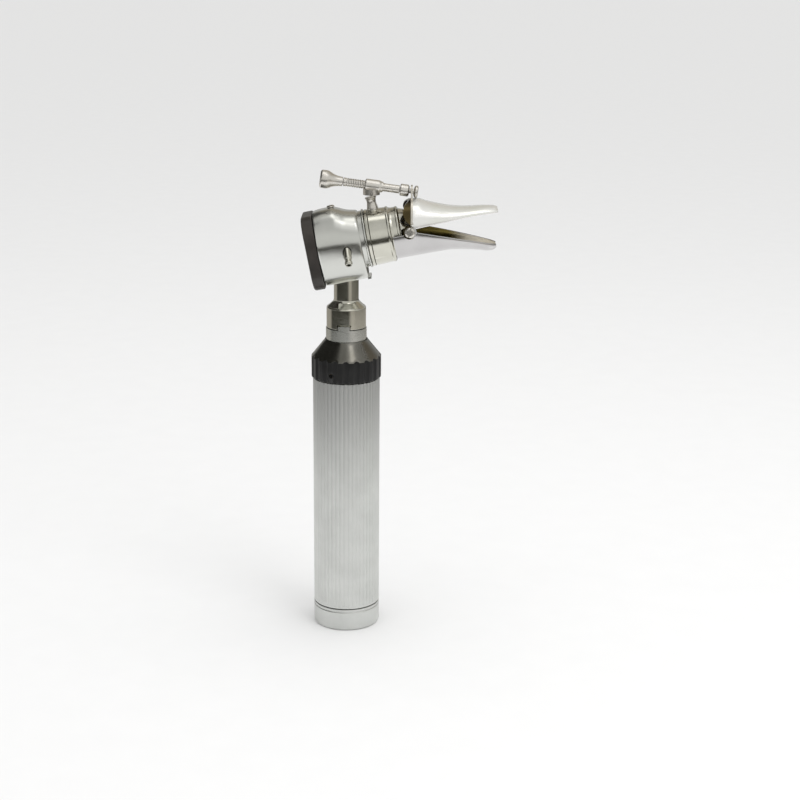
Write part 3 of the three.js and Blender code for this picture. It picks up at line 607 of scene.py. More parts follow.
def handle_tube():
    low, high = box_mm("handle_tube")
    radius, bore, ribs, depth, edge = high.x, high.x - 1, 48, 0.28, 0.25
    steps = ribs * 8

    def ribbed(inset, height):
        row = []
        for j in range(steps):
            wave = 0.5 - 0.5 * math.cos(TURN * ribs * j / steps)
            row.append(polar(radius - inset - depth * wave**2, TURN * j / steps, height))
        return row

    def plain(r, height):
        return [polar(r, TURN * j / steps, height) for j in range(steps)]

    rows = [
        plain(bore, high.z), plain(bore, low.z), plain(radius - edge - 0.1, low.z),
        plain(radius - 0.05, low.z + edge), plain(radius - 0.02, low.z + 1.2), ribbed(0, low.z + 1.6),
        *[ribbed(0, z) for z in spread(low.z + 6, high.z - 6, 5)], ribbed(0, high.z - edge),
        ribbed(edge, high.z),
    ]
    piece("handle_tube", skin(rows, loop=True))


def base_cap():
    low, high = box_mm("base_cap")
    r, top, spigot = high.x, high.z, 13.2
    foot = [
        (0, 0.35), (5.5, 0.35), (5.9, 0, 0.1), (r - 3.4, 0), (r - 3.2, 0.18), (r - 2.9, 0.18), (r - 2.7, 0),
        (r, 0, 2.0),
    ]
    side = [
        (r, 8.4), (r - 0.25, 8.6), (r - 0.25, 8.9), (r, 9.1), (r, 10), (spigot - 0.2, 10),
        (spigot - 0.5, 10.3),
    ]
    rows = turned_rows([*foot, *side], 0.25, 96)
    rows += thread(spigot, 0.32, 1.5, 1, 10.35, top - 0.5, 96)
    rows += turned_rows([(spigot - 0.5, top), (11.2, top), (11.2, 2.4), (0, 2.4)], 0.2, 96)
    piece("base_cap", skin(rows, loop=False), sharp=50)


def cells():
    for node in ("battery_lower", "battery_upper"):
        low, high = box_mm(node)
        foot, top, r = low.z, high.z, high.x
        shoulder = top - 1.4
        profile = [
            (0, foot), (r - 3.5, foot), (r - 3.2, foot + 0.3), (r - 1.4, foot + 0.3), (r - 1.2, foot),
            (r - 0.4, foot), (r, foot + 0.5), (r, shoulder - 0.7), (r - 0.5, shoulder), (r - 1.5, shoulder),
            (r - 2.2, shoulder - 0.6), (4.2, shoulder - 0.6), (3.7, shoulder), (3.3, shoulder),
            (3.3, top), (0, top),
        ]

        def steel(middle, jacket=r - 1.0):
            return 1 if middle.xy.length < jacket else 0

        piece(node, lathe(profile, 0.2, 80, steel), looks=["cell_jacket", "spring_steel"])


def battery_spring():
    low, high = box_mm("battery_spring")
    wire = 0.45

    def path(t):
        rise = min(max((t - 0.14) / 0.72, 0), 1)
        foot, top = low.z + wire, high.z - wire
        return 9 - 4.8 * t, foot + 0.6 * t + (top - foot - 0.6) * rise

    piece("battery_spring", coil(path, 5, wire))


def neck():
    low, high = box_mm("handle_neck")
    collar, spigot, bore, top = 8.9, 6.4, 3.0, high.z
    profile = [
        (bore, 115.4), (10.5, 115.4), (10.5, low.z), (13.2, low.z), (13.2, 115.4), (12.9, 115.5),
        (12.9, 118.4),
        (7, 118.4, 0.5), (7, 130.9), (collar - 0.15, 130.9), (collar - 0.15, 132), (collar, 132.15),
        (collar, 137.4), (spigot, 137.4), (spigot, top - 0.6), (spigot - 0.6, top), (bore, top),
    ]
    blank = slab((-3.35, -12, 136.8), (1.75, -5, 139.2))
    wall = [(spigot - 0.1, 136.4), (collar, 136.4), (collar, 140.4), (spigot - 0.1, 140.4)]
    key = keep(blank, lathe(wall, 0.1))
    grip = lathe([(10.0, 109.4), (10.9, 110.4), (10.9, 113.4), (10.0, 114.4)], 0.1)
    ball_seat = moved(disc(1.1, 8, 14), at(z=DETENT_HEIGHT) @ Z_TO_X)

    def brushed(middle):
        return 1 if middle.z > 130 and middle.xy.length > spigot else 0

    shape = cut(join(lathe(profile, 0.18), key), grip, ball_seat)
    piece("handle_neck", shape, looks=["chrome", "brushed_collar"], bevel=0.08, paint=brushed)


def split_ring(node, inner, outer, gap, middle, windings=0):
    """A flat ring with a gap. With windings, its outside is ribbed as a wound wire is."""
    low, high = box_mm(node)
    start, end = middle + gap / 2, middle - gap / 2 + TURN
    steps = windings * 4 if windings else 96
    rows = []
    for a in spread(start, end, steps + 1):
        wide = outer - (WINDING - WINDING * math.sin(a * windings) if windings else 0)
        section = [
            (inner, low.z + 0.2), (inner + 0.2, low.z), (wide - 0.2, low.z), (wide, low.z + 0.2),
            (wide, high.z - 0.2), (wide - 0.2, high.z), (inner + 0.2, high.z), (inner, high.z - 0.2),
        ]
        rows.append([polar(r, a, z) for r, z in section])
    return skin(capped(rows), loop=False)


FLUTES, FLUTE_R, FLUTE_DEPTH = 20, 2.0, 0.55
FIRST_FLUTE = math.radians(-90 + 10) + TURN / FLUTES / 2


def dimmer_ring():
    """A fluted black band below a polished cone; the grooves run out up the cone in scallops."""
    low, high = box_mm("dimmer_ring")
    outer, throat, bore, band_top, lip, blend = high.x, 9.2, 13.9, 124.6, 1.0, 0.14
    slope = (outer - throat) / (high.z - band_top)
    reach = outer + FLUTE_R - FLUTE_DEPTH
    count = FLUTES * 24

    def groove(angle):
        off = ((angle - FIRST_FLUTE + math.pi / FLUTES) % (TURN / FLUTES)) - math.pi / FLUTES
        inside = FLUTE_R**2 - (reach * math.sin(off)) ** 2
        return reach * math.cos(off) - math.sqrt(inside) if inside > 0 else outer + 1

    def side(angle, inset=0.0):
        cut_back = groove(angle)
        h = max(blend - abs(outer - cut_back), 0) / blend
        return min(outer, cut_back) - h * h * blend / 4 - inset

    def edge_height(angle):
        return band_top + (outer - side(angle)) / slope

    angles = [FIRST_FLUTE + TURN * j / count for j in range(count)]
    rows = [[polar(bore, a, z) for a in angles] for z in (band_top - lip, low.z)]
    rows.append([polar(side(a, 0.35), a, low.z) for a in angles])
    rows.append([polar(side(a, 0.1), a, low.z + 0.1) for a in angles])
    rows += [[polar(side(a), a, z) for a in angles] for z in (low.z + 0.4, low.z + 5.5, band_top - 0.3)]
    rows.append([polar(side(a), a, edge_height(a) - 0.02) for a in angles])
    rows.append([polar(side(a, 0.03), a, edge_height(a) + 0.04) for a in angles])
    for share in (0.12, 0.3, 0.5, 0.7, 0.85, 0.95):
        row = []
        for a in angles:
            start = edge_height(a) + 0.04
            z = start + (high.z - 0.2 - start) * share
            row.append(polar(outer - (z - band_top) * slope - 0.02, a, z))
        rows.append(row)
    rows += [[polar(r, a, z) for a in angles] for r, z in (
        (throat + 0.12, high.z - 0.05), (throat, high.z - 0.15), (throat, high.z - lip),
    )]

    def paint(middle):
        r = math.hypot(middle.x, middle.y)
        on_cone = middle.z > edge_height(math.atan2(middle.y, middle.x)) - 0.03
        return 1 if on_cone or (r < bore - 0.1 and middle.z > band_top) else 0

    shell = skin(rows, loop=True, paint=paint)
    hole = moved(disc(1.05, 12, 18), INDEX_AXIS)
    piece("dimmer_ring", cut(shell, hole), looks=["dark_ring", "dark_cone"], sharp=28)


def handle_small_parts():
    socket = lathe([(0, 14.3), (0.45, 14.3), (0.45, 15.2), (0, 15.2)], 0, 6)
    screw = cut(lathe([(0, 13.95), (0.85, 13.95), (0.85, 14.9, 0.2), (0, 14.9)], 0.1, 48), socket)
    piece("ring_grub_screw", screw, placed(WORLD, INDEX_AXIS))
    strip = join(slab((13.45, -1.5, 116.4), (13.8, 1.5, 122.8)), slab((11.5, -1, 121), (13.5, 1, 122.2)))
    piece("rheostat_wiper", strip, TO_INDEX, bevel=0.12)
    track = split_ring("rheostat_track", 7.4, 11.2, 1.2, INDEX_ANGLE - 0.8, windings=120)
    piece("rheostat_track", track)
    piece("ring_retainer", split_ring("ring_retainer", 7.3, 9.8, 0.7, 0))
    piece("contact_insulator", lathe([(2.3, 111.1), (10.2, 111.1), (10.2, 115.1), (2.3, 115.1)], 0.3))
    rivet = [(0, 109.9), (2.4, 109.9), (4, 110.3), (4, 110.8), (2, 110.8), (2, 116.6), (0, 116.6)]
    piece("positive_contact", lathe(rivet, 0.2))
    rest = coil(straight(0.6, 8.58, 2.24), 3, 0.18)
    piece("detent_spring", rest, placed(WORLD, at(z=DETENT_HEIGHT) @ Z_TO_X))
    ball = [(0.95 * math.sin(math.pi * i / 24), -0.95 * math.cos(math.pi * i / 24)) for i in range(25)]
    ball[0], ball[-1] = (0, -0.95), (0, 0.95)
    piece("detent_ball", lathe(ball, 0, 40), placed(WORLD, at(12.2, 0, DETENT_HEIGHT)))
    spring = piece("pin_spring", coil(straight(1.7, 117.2, 4.8), 5, 0.25))
    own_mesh(spring)
    piece("pin_insulator", lathe([(1.3, 124.4), (2.7, 124.4), (2.7, 144.9), (1.3, 144.9)], 0.2))
    pin = [
        (0, 122.6), (2.4, 122.6), (2.4, 123.9), (1, 123.9), (1, 144.8), (0.75, 145.3), (0.35, 145.5),
        (0, 145.5),
    ]
    piece("contact_pin", lathe(pin, 0.15))


# ---------- head: sleeve, contacts, lamp ----------
def head_sleeve():
    low, high = box_mm("head_sleeve")
    profile = [
        (6.7, low.z), (8.6, low.z), (8.6, 146.3), (8.25, 146.85), (8.0, 146.9, 0.3), (5.4, 149.3, 0.8),
        (5.4, high.z), (3.3, high.z), (3.3, 145.8), (6.7, 145.8),
    ]
    notch = slab((-3.65, -12, 136.4), (2.05, -5, 139.8))
    relief = moved(disc(0.42, 5, 12, 24), at(2.05, 0, 139.5) @ spin(90, "X"))
    piece("head_sleeve", cut(lathe(profile, 0.2, 128), notch, relief), bevel=0.1)


def lamp():
    piece("head_contact_insulator", lathe([(1.3, 146.1), (3, 146.1), (3, 158.6), (1.3, 158.6)], 0.2))
    piece("head_contact", lathe([(0, 146.8), (1, 146.8, 0.4), (1, 159.2), (0, 159.2)], 0.15))
    piece("lamp_socket", lathe([(2.5, 159.2), (3.4, 159.2), (3.4, 164), (2.5, 164)], 0.12))
    piece("lamp_base", lathe([(0, 159.6), (2.2, 159.6), (2.2, 164.4), (0, 164.4)], 0.25))
    arc = [math.radians(degrees) for degrees in range(90, 0, -10)]
    dome = [(2.1 * math.sin(a), 168 + 2.1 * math.cos(a)) for a in arc]
    piece("lamp_bulb", lathe([(0, 164.7), (1.5, 164.7), (2.1, 165.7, 0.6), *dome, (0, 170.1)], 0.1))


# ---------- head: housing ----------
LENS_PIVOT = at(z=LENS_PIVOT_V) @ Z_TO_X
LENS_AXIS = at(z=LENS_V) @ Z_TO_X
NIPPLE = at(0.4, -11.6, -1.0) @ spin(135, "X")
NECK_R = 12.15

housing_top = curve_through([
    (-11.8, 15.4), (-8, 15.9), (-3.7, 16.0), (-1, 15.1), (1.9, 13.8), (4.5, 13.1), (7, 12.7),
])
housing_half = curve_through([(-11.8, 13.8), (-3.7, 13.6), (1.9, 13.2), (7, 12.6)])
housing_square = curve_through([(-11.8, 2.9), (1.9, 2.6), (7, 2.25)])
housing_lean = curve_through([(-11.8, 0.14), (1.9, 0.10), (7, 0.03)])
HOUSING_WIDEST, HOUSING_BOTTOM = -2.0, -16.9
HOUSING_RIDGE, RIDGE_SOFT = 1.2, 1.2


def housing_ring(u, inset, around=120):
    """A section of the housing: a rounded box that is widest a little below the head's axis."""
    row = []
    power = 2 / housing_square(u)
    for j in range(around):
        c, s = math.cos(TURN * j / around), math.sin(TURN * j / around)
        reach = housing_top(u) - HOUSING_WIDEST if s > 0 else HOUSING_WIDEST - HOUSING_BOTTOM
        v = HOUSING_WIDEST + math.copysign(abs(s) ** power, s) * (reach - inset)
        lean = housing_lean(u) * (math.hypot(v - HOUSING_RIDGE, RIDGE_SOFT) - RIDGE_SOFT)
        y = math.copysign(abs(c) ** power, c) * (housing_half(u) - inset - lean)
        row.append((u, y, v))
    return row


def head_housing():
    back, front, wall = -11.8, 7.0, 1.6
    outer = [housing_ring(back, 0.35), housing_ring(back + 0.1, 0.1), housing_ring(back + 0.35, 0)]
    outer += [housing_ring(u, 0) for u in spread(back + 1, front - 0.8, 26)]
    outer += [housing_ring(front - 0.35, 0.12), housing_ring(front - 0.1, 0.35), housing_ring(front, 0.7)]
    inner = [housing_ring(u, wall) for u in spread(-13, 5.4, 16)]
    neck = [
        (0, 2), (NECK_R, 2), (NECK_R, 8.6), (NECK_R + 0.55, 8.85), (NECK_R + 0.55, 9.35),
        (NECK_R, 9.6), (0, 9.6),
    ]
    lip = slab((6.5, -4.5, -16.9), (7.9, 4.5, -16.0))
    shell = cut(
        join(skin(capped(outer), False), moved(lathe(neck, 0.15, 128), Z_TO_X), lip),
        skin(capped(inner), False),
        moved(disc(NECK_R - 1.3, 1, 12, 96), Z_TO_X),
        moved(disc(5.8, 148.4, 160.4), into(HEAD)),
        moved(disc(2.0, -4, 10), NIPPLE),
        moved(disc(1.2, 10, 20), at(-3.7)),
    )
    boss = moved(disc(2.7, back + 0.01, -6), LENS_PIVOT)
    shell = cut(join(shell, boss), moved(disc(1.4, -14, -7.4), LENS_PIVOT))
    piece("head_housing", shell, HEAD, bevel=0.1, sharp=38)


def head_fittings():
    r = NECK_R
    ring = [
        (8.9, 8.8), (r - 1.6, 8.8), (r - 1.6, 9.9), (r + 0.1, 9.9), (r + 0.1, 11.1), (10.6, 11.1),
        (9.8, 16),
        (8.9, 16),
    ]
    piece("front_ring", lathe(ring, 0.15, 128), HEAD @ Z_TO_X)
    barb = [
        (0.8, 0), (1.7, 0), (1.7, 5.2, 0.4), (1.3, 5.7, 0.3), (1.3, 6.4, 0.3), (1.7, 7.0, 0.3),
        (1.7, 7.5, 0.3),
        (1.3, 8.4, 0.2), (0.8, 8.4),
    ]
    piece("insufflation_nipple", lathe(barb, 0.15, 64), placed(HEAD, NIPPLE))
    screw = [(0, 12), (0.9, 12), (0.9, 16.1), (1.7, 16.1), (1.7, 16.5, 0.3), (1.2, 16.9, 0.3), (0, 16.9)]
    piece("top_screw", slotted(screw, 0.25, 16.45, 17.5, 35), placed(HEAD, at(-3.7)))


# ---------- magnifier ----------
def round_box(half, low, high, corner, steps=12):
    """A rounded rectangle in (across, up), counter-clockwise."""
    reach, foot, top = half - corner, low + corner, high - corner
    middles = [(reach, foot), (reach, top), (-reach, top), (-reach, foot)]
    points = []
    for turn, (x, y) in enumerate(middles):
        for step in range(steps + 1):
            a = math.radians(-90 + 90 * turn + 90 * step / steps)
            points.append((x + corner * math.cos(a), y + corner * math.sin(a)))
    return points


def lens_frame():
    back, front, half, low, high, corner = -16.8, -12.1, 13.8, -17.2, 15.0, 7.5
    edges = [
        (1.2, back), (0.5, back + 0.12), (0.12, back + 0.5), (0, back + 1.2), (0, front - 0.3),
        (0.3, front),
    ]
    rows = []
    for inset, u in edges:
        box = round_box(half - inset, low + inset, high - inset, corner - inset)
        rows.append([(u, y, v) for y, v in box])
    body = skin(capped(rows), False)
    tools = [
        moved(disc(9.9, -20, -10, 96), LENS_AXIS),
        moved(disc(11.7, -20, -13.4, 96), LENS_AXIS),
        moved(disc(1.4, -20, -10), LENS_PIVOT),
        moved(disc(2.4, -20, -15.5), LENS_PIVOT),
    ]
    piece("lens_frame", cut(body, *tools), HEAD, bevel=0.15)


def magnifier():
    where = placed(HEAD, LENS_AXIS)
    rim = 11.4

    def bulge(r, depth):
        return depth * (1 - (r / rim) ** 2)

    radii = spread(0, rim, 12)
    behind = [(r, -14.8 - bulge(r, 1.1)) for r in radii]
    before = [(r, -13.8 + bulge(r, 0.8)) for r in reversed(radii)]
    piece("magnifier_lens", lathe([*behind, *before], 0, 96), where)
    ring = [(10.1, -16.5), (11.4, -16.5), (11.4, -15.1), (10.9, -15.1), (10.1, -15.9)]
    notches = [moved(slab((9, -0.6, -17), (12.5, 0.6, -16.0)), spin(a, "Z")) for a in (0, 180)]
    piece("lens_retainer", cut(lathe(ring, 0.15, 96), *notches), where)
    screw = [(0, -16.6), (2.1, -16.6, 0.3), (2.1, -15.8), (1.1, -15.8), (1.1, -8), (0, -8)]
    piece("lens_pivot_screw", slotted(screw, 0.3, -17, -16.2, 40), placed(HEAD, LENS_PIVOT))


# ---------- speculum ----------
SHEET = 0.8
BLADE_PIVOT = at(28.0, 0, PIVOT_V)
POST_X = 13.9


def speculum_body():
    profile = [
        (11.2, 11.4), (12.2, 11.4), (11.75, 18.9, 0.1), (12.0, 19.1), (12.0, 19.8), (11.35, 20.3),
        (11.1, 21.2),
        (11.1, 22.9), (11.3, 23.1), (11.3, 23.8), (10.3, 24.4), (9.6, 26.5), (8.7, 26.5), (8.7, 24.4),
    ]
    shell = moved(lathe(profile, 0.14, 144), Z_TO_X)
    room = moved(lathe([(9.85, 20.3), (14, 20.3), (14, 30), (9.85, 30)], 0.05, 144), Z_TO_X)
    lower = keep(room, slab((15, -20, -19.7), (35, 20, 0.3)))
    post_hole = moved(disc(1.5, 8, 14), at(POST_X))
    piece("speculum_body", cut(shell, lower, post_hole), HEAD, bevel=0.06)


def blade(stations, rim, crown, half, up, arc=40):
    """A half-pipe of even sheet with rounded rims; up is 1 or -1."""
    rows = []
    middle, edge = SHEET / 2, 4
    bend = [math.pi * j / arc for j in range(arc + 1)]
    tip = [math.pi * j / edge for j in range(1, edge)]
    for u in stations:
        wide, tall = half(u), abs(crown(u) - rim(u))
        row = [(wide * math.cos(a), tall * math.sin(a)) for a in bend]
        row += [(-wide + middle - middle * math.cos(a), -middle * math.sin(a) * 0.8) for a in tip]
        row += [((wide - SHEET) * math.cos(a), (tall - SHEET) * math.sin(a)) for a in reversed(bend)]
        row += [(wide - middle - middle * math.cos(a), -middle * math.sin(a) * 0.8) for a in tip]
        rows.append([(u, y, rim(u) + up * v) for y, v in row])
    count = len(rows[0])
    ends = []
    for first in (0, (len(rows) - 1) * count):
        inner = first + arc + edge
        for j in range(arc):
            ends.append((first + j, first + j + 1, inner + arc - j - 1, inner + arc - j))
        ends.append(tuple(first + arc + j for j in range(edge + 1)))
        ends.append((*(inner + arc + j for j in range(edge)), first))
    return weld([point for row in rows for point in row], quads(rows, False) + ends)


def within(middle, rim, crown, half):
    """Whether a point of a blade's sheet is on its inner side."""
    u, y, v = middle
    across, up = y / (half(u) - SHEET / 2), (v - rim(u)) / (crown(u) - rim(u))
    inner = 1 - SHEET / 2 / abs(crown(u) - rim(u))
    return across**2 + (up / inner) ** 2 < 0.995 and -0.02 < up < 1


def ears(radius, inner_y):
    """The round ends of a blade's rims, and the tools for the pivot holes through them."""
    rims, holes = [], []
    for side in (1, -1):
        where = BLADE_PIVOT @ spin(-90 * side, "X")
        rims.append(moved(disc(radius, inner_y, inner_y + SHEET, 64), where))
        holes.append(moved(disc(1.5, 8, 13), where))
    return rims, holes


def lower_blade():
    rim = curve_through([(20.6, -0.1), (26, 0), (28, 1.1), (29.5, 0.6), (61.5, -11.5), (63.2, -12.2)])
    crown = curve_through([
        (20.6, -11.0), (42, -11.0), (47, -11.6), (51.6, -12.5), (56, -13.6), (59, -14.6), (61.4, -14.8),
        (63.2, -13.9),
    ])
    half = curve_through([
        (20.6, 11.0), (28, 11.0), (34, 10.7), (41, 10), (47, 9.1), (52, 8), (57, 6.6), (60.5, 5.2),
        (62.4, 3.9),
        (63.2, 3.0),
    ])
    stations = [20.6, *spread(22, 61, 48), 61.6, 62.2, 62.7, 63.0, 63.2]
    sheet = blade(stations, rim, crown, half, -1)
    rims, holes = ears(2.3, 10.0)
    shape = cut(join(sheet, *rims), *holes)

    def side(middle):
        return 1 if within(middle, rim, crown, half) else 0

    # The outside is the darker shaded copy of the blade metal and the inside a painted gold reflection: both
    # are painted light.
    piece("lower_blade", shape, HEAD, looks=["blade_shaded_copy", "blade_gold_painted_reflection"], bevel=0.08, sharp=40, paint=side)


UPPER_RIM = 2.4
LEVER_X, LEVER_TOP, LEVER_HALF = 27.65, 199.7, 2.9


def arc_points(middle, rx, ry, start, end, steps=20):
    return [(rx * math.cos(a), middle + ry * math.sin(a)) for a in spread(start, end, steps)]


def lever_plate():
    """The upright lever in the plane of Y and Z, in the row's frame."""
    tilt = math.asin(HEAD.col[0].z)
    z = HEAD.translation.z / MM + math.sin(tilt) * 29.6 + math.cos(tilt) * UPPER_RIM
    slope = JOINTS["knob_turn"]["axis"]
    slot_z = ROD.translation.z / MM + slope[2] / slope[0] * (LEVER_X + SHEET / 2)
    outline = arc_points(z, 12.05, 12.2, 0, 0.39 * math.pi)
    outline += arc_points(LEVER_TOP - LEVER_HALF, LEVER_HALF, LEVER_HALF, 0, math.pi)
    outline += arc_points(z, 12.05, 12.2, 0.61 * math.pi, math.pi)
    outline += arc_points(z, 11.5, 10.4, math.pi, 0, 32)
    hole = arc_points(slot_z, 1.4, 1.6, 0, TURN, 33)[:-1]
    flat = plate([outline, hole], LEVER_X, LEVER_X + SHEET)
    upright = Matrix(((0, 0, 1, 0), (1, 0, 0, 0), (0, 1, 0, 0), (0, 0, 0, 1)))
    return moved(flat, into(HEAD) @ upright)


def upper_blade():
    rim = curve_through([(26.3, UPPER_RIM), (51, UPPER_RIM), (66.6, 1.5)])
    crown = curve_through([
        (26, 13.9), (33.4, 13.1), (37, 11.4), (40.9, 9.7), (46.5, 7.6), (53.5, 5.9), (59, 5.2), (65.3, 4.0),
        (66.6, 3.3),
    ])
    half = curve_through([
        (26, 12.1), (30, 12.1), (34, 11.4), (41, 10.1), (47, 8.9), (53.5, 7.5), (59, 6.3), (63.5, 5.1),
        (65.6, 4.2), (66.6, 3.2),
    ])
    stations = [*spread(26.3, 64.6, 50), 65.2, 65.7, 66.1, 66.35, 66.5]
    sheet = blade(stations, rim, crown, half, 1)
    lip = curve_through([(4.1, 28.9), (6.4, 27.2), (9.3, 26.6), (11.8, 27.7), (13.4, 30.2)])
    waste = [(20, -5), (28.9, -5), *[(lip(v), v) for v in spread(4.1, 13.4, 24)], (30.2, 20), (20, 20)]
    behind = moved(plate([waste], -20, 20), spin(90, "X"))
    rims, holes = ears(2.9, 11.3)
    shell = cut(join(cut(sheet, behind), lever_plate(), *rims), *holes)

    # Inside faces and those behind the lever get the painted dark reflection, the lever's own faces
    # lever_edge, and the outside the lit copy of the blade metal.
    def side(middle):
        x = (HEAD @ (middle * MM)).x / MM
        if x < LEVER_X + 0.02 or within(middle, rim, crown, half):
            return 1
        return 2 if x < LEVER_X + SHEET + 0.02 else 0

    looks = ["blade_chrome", "blade_dark_painted_reflection", "lever_edge"]
    piece("upper_blade", shell, HEAD, looks=looks, bevel=0.08, sharp=40, paint=side)


def pivot_screws():
    profile = [
        (0, 9.7), (1.2, 9.7), (1.2, 12.3), (2.2, 12.3), (2.2, 12.85, 0.3), (1.6, 13.3, 0.3), (0, 13.3),
    ]
    for node, side in (("pivot_screw_near", -1), ("pivot_screw_far", 1)):
        where = placed(HEAD, BLADE_PIVOT @ spin(-90 * side, "X"))
        piece(node, slotted(profile, 0.27, 12.85, 14, 25 * side), where)


# ---------- adjusting screw ----------
PIN_X, _, PIN_Z = JOINTS["block_swivel"]["pos_m"]


def screw_post():
    stud = lathe([
        (0, 11.4), (2.45, 11.4), (2.4, 12.6), (2.2, 13.6, 0.5), (1.9, 15.2, 0.6), (2.1, 16.3, 0.5),
        (2.5, 17.0, 0.3),
        (2.3, 17.4, 0.2), (0, 17.4),
    ], 0.15, 80)
    stud = join(cut(stud, moved(disc(12.05, -4, 4, 160), Z_TO_X)), disc(1.2, 11.6, 13, 48))
    tongue = slab((0.1, -1.1, 16.4), (1.7, 1.1, 18.95))
    across = at(0.9, 0, 18.95) @ spin(90, "X")
    shape = cut(join(stud, tongue, moved(disc(0.8, -1.1, 1.1), across)), moved(disc(0.55, -4, 4), across))
    piece("screw_post", shape, placed(HEAD, at(POST_X)), bevel=0.08)


def swivel_block():
    profile = [(0, 8.2), (2.45, 8.2), (2.7, 8.5), (2.7, 14.2), (2.3, 15.2), (2.3, 15.8), (0, 15.8)]
    barrel = moved(lathe(profile, 0.2, 80), Z_TO_X)
    to_rod = into(ROD)
    pad = moved(disc(3.6, 195.5, 198.0, 96), to_rod @ at(10.8))
    pocket = moved(slab((8.5, -1.4, 193.5), (13.1, 1.4, 197.5)), to_rod)
    bore = moved(disc(2.05, 5, 20), Z_TO_X)
    pin_hole = moved(disc(0.6, -5, 5), to_rod @ at(PIN_X / MM, 0, PIN_Z / MM) @ spin(90, "X"))
    piece("swivel_block", cut(join(barrel, pad), pocket, bore, pin_hole), ROD, bevel=0.22)


def rod_parts():
    where = ROD @ Z_TO_X
    rows = turned_rows([(0, -5.6), (1.2, -5.6), (1.2, -1.2), (1.8, -1.2), (1.88, -0.9)], 0.1)
    rows += thread(1.9, 0.28, 2.0, 2, -0.8, 15.6)
    rows += turned_rows([(1.88, 15.8), (1.75, 16.4), (1.75, 22.9), (1.0, 22.9), (1.0, 30.2), (0, 30.2)], 0.15)
    piece("adjusting_screw", skin(rows, loop=False), where, sharp=50)
    knob = [
        (0, -11.0), (2.2, -11.0), (2.5, -11.2), (3.3, -11.2, 0.3), (3.92, -10.6, 0.4),
        (3.95, -8.4, 0.5), (3.6, -7.2, 0.8),
        (2.85, -5.9, 1.0), (2.35, -4.4, 1.0), (2.1, -3, 1.0), (2.0, -1.5, 0.15), (1.5, -1.5),
        (1.5, -5.9), (0, -5.9),
    ]
    piece("thumb_knob", lathe(knob, 0.12), where)
    collar = [(1.3, 23.2), (2.3, 23.2), (2.55, 23.5), (2.55, 26.6), (1.9, 27.1), (1.3, 27.1)]
    piece("end_collar", lathe(collar, 0.15, 72), where)
    button = [(1.15, 29.15), (1.8, 29.15), (2.6, 29.7), (2.6, 30.5), (2.2, 30.9), (1.15, 30.9)]
    piece("end_button", lathe(button, 0.15, 72), where)
    pin = [(0, -3.2), (0.45, -3.2, 0.15), (0.45, 3.2, 0.15), (0, 3.2)]
    piece("block_pivot_pin", lathe(pin, 0.15, 32), Matrix.Translation((PIN_X, 0, PIN_Z)) @ spin(90, "X"))


handle_tube()
base_cap()
cells()
battery_spring()
neck()
dimmer_ring()
handle_small_parts()
head_sleeve()
lamp()
head_housing()
head_fittings()
lens_frame()
magnifier()
speculum_body()
lower_blade()
upper_blade()
pivot_screws()
screw_post()
swivel_block()
rod_parts()


# ---------- floor, light and camera ----------
DARK_FLOOR, MID_FLOOR = (0.035, 0.034, 0.026), (0.37, 0.35, 0.32)
FLOOR_HALF = 30.0
ROOM_TOP = (1.6, 1.58, 1.53)
# The room's dark and bright areas: (bearings in degrees, heights, softness in radians, colour).
ROOM_AREAS = [
    ((-165, -38), (0.14, 0.87), 0.12, (0.05, 0.05, 0.045)),
    ((8, 62), (0.68, 0.99), 0.3, (1.02, 1.01, 1.0)),
    ((24, 50), (0.85, 0.94), 0.12, (2.9, 2.86, 2.8)),
]


def floor():
    """Pale paper. Metal sees it darker far from the object, as it does below a studio's flags."""
    mesh = bpy.data.meshes.new("floor")
    corners = [(-1, -1), (1, -1), (1, 1), (-1, 1)]
    mesh.from_pydata([(x * FLOOR_HALF, y * FLOOR_HALF, 0) for x, y in corners], [], [(0, 1, 2, 3)])
    made = bpy.data.objects.new("floor", mesh)
    bpy.context.scene.collection.objects.link(made)
    shader = Shader("pale_floor", Metallic=0.0, Roughness=0.9, Specular_IOR_Level=0.1)
    shader.place = shader.node("ShaderNodeTexCoord").outputs["Object"]
    pale = shader.ramp(shader.noise((60, 60, 60)), (0.3, 0.81), (0.7, 0.82))
    reach = shader.node("ShaderNodeVectorMath", {0: shader.place}, operation="LENGTH").outputs["Value"]
    bearing = shader.bearing(shader.parts(shader.place))

    def turn_past(low, high):
        return shader.rise(bearing, math.radians(low), math.radians(high))

    ahead = shader.product(turn_past(-105, -85), shader.maths("SUBTRACT", 1.0, turn_past(12, 34)))
    aside = shader.product(turn_past(46, 58), shader.rise(reach, 0.62, 0.74))
    flagged = shader.mix(ahead, MID_FLOOR, DARK_FLOOR)
    flagged = shader.mix(shader.product(aside, 0.85), flagged, DARK_FLOOR)
    glossy = shader.node("ShaderNodeLightPath").outputs["Is Glossy Ray"]
    far = shader.product(shader.rise(reach, 0.38, 0.50), glossy)
    shader.drive(Base_Color=shader.mix(far, pale, flagged))
    mesh.materials.append(shader.material)


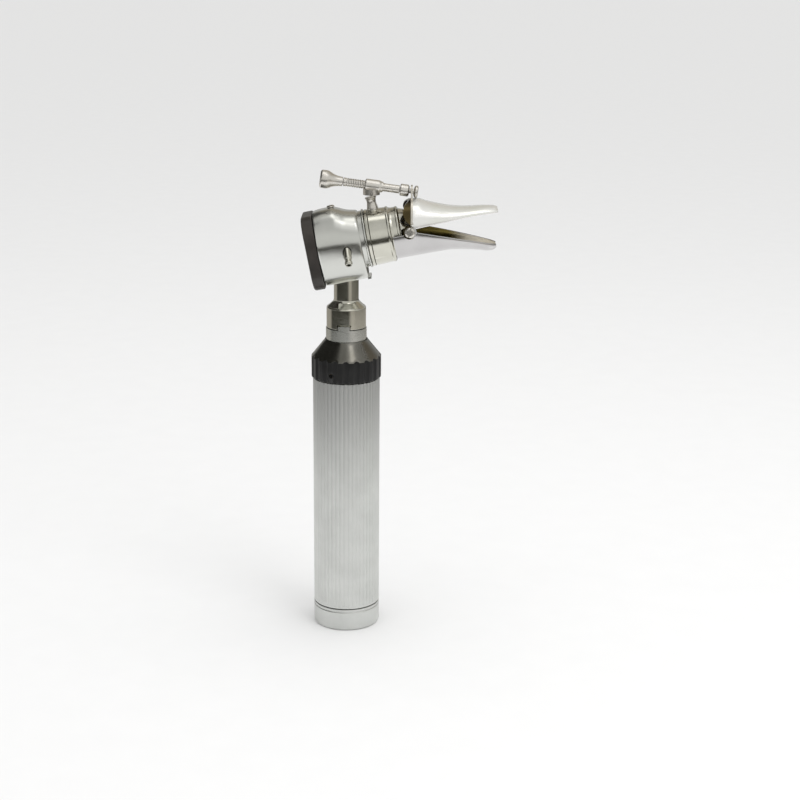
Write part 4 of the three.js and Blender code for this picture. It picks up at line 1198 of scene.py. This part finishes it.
def studio():
    """An even pale room for the floor, and a graded one for what the metal sees."""
    world = bpy.data.worlds.new("studio")
    bpy.context.scene.world = world
    world.use_nodes = True
    world.node_tree.nodes.clear()
    nodes = Nodes(world.node_tree)
    direction = nodes.parts(nodes.node("ShaderNodeTexCoord").outputs["Generated"])
    height, bearing = direction["Z"], nodes.bearing(direction)

    def grey(value):
        return value, value, value * 0.97

    def area(degrees, heights, soft):
        """1 between two bearings and two heights, fading to 0 round them."""
        start, end = (math.radians(value) for value in degrees)
        low, high = heights
        on, off = nodes.rise(bearing, start - soft, start + soft), nodes.rise(bearing, end + soft, end - soft)
        above, below = nodes.rise(height, low - 0.04, low + 0.04), nodes.rise(height, high + 0.04, high - 0.04)
        return nodes.product(nodes.product(on, off), nodes.product(above, below))

    front = nodes.ramp(
        height, (0.0, grey(0.55)), (0.10, grey(0.72)), (0.42, grey(0.74)), (0.6, grey(0.60)),
        (1.0, grey(0.55)),
    )
    back = nodes.ramp(
        height, (0.0, grey(0.5)), (0.25, grey(0.5)), (0.45, (0.36, 0.32, 0.26)), (0.75, (0.40, 0.37, 0.31)),
        (1.0, grey(0.6)),
    )
    room = nodes.mix(nodes.rise(direction["Y"], -0.1, 0.3), front, back)
    for degrees, heights, soft, colour in ROOM_AREAS:
        room = nodes.mix(area(degrees, heights, soft), room, colour)
    room = nodes.mix(nodes.rise(height, 0.968, 0.988), room, ROOM_TOP)
    air = nodes.ramp(height, (0.0, (0.80, 0.80, 0.796)), (0.08, (0.96, 0.96, 0.955)))
    glossy = nodes.node("ShaderNodeLightPath").outputs["Is Glossy Ray"]
    background = nodes.node("ShaderNodeBackground", {"Color": nodes.mix(glossy, air, room), "Strength": 1.0})
    nodes.node("ShaderNodeOutputWorld", {"Surface": background.outputs[0]})


def soft_light(name, place, aim, size, power):
    data = bpy.data.lights.new(name, "AREA")
    data.shape = "RECTANGLE"
    data.size, data.size_y = size
    data.energy = power
    made = bpy.data.objects.new(name, data)
    made.location = place
    made.visible_glossy = False
    made.rotation_euler = (Vector(aim) - Vector(place)).to_track_quat("-Z", "Y").to_euler()
    bpy.context.scene.collection.objects.link(made)


def camera():
    data = bpy.data.cameras.new("camera")
    data.lens = 76.5
    data.sensor_width = 36
    made = bpy.data.objects.new("camera", data)
    made.matrix_world = Matrix.Translation((0.0237, -0.7225, 0.3114)) @ spin(74, "X") @ spin(0.45, "Z")
    bpy.context.scene.collection.objects.link(made)
    bpy.context.scene.camera = made


floor()
studio()
soft_light("key", (0.5, -0.55, 0.75), (0, 0, 0.12), (0.5, 0.7), 1.8)
soft_light("top", (0.14, -0.06, 0.95), (0, 0, 0.1), (0.7, 0.7), 1.8)
camera()
bpy.context.scene.view_settings.view_transform = "Standard"
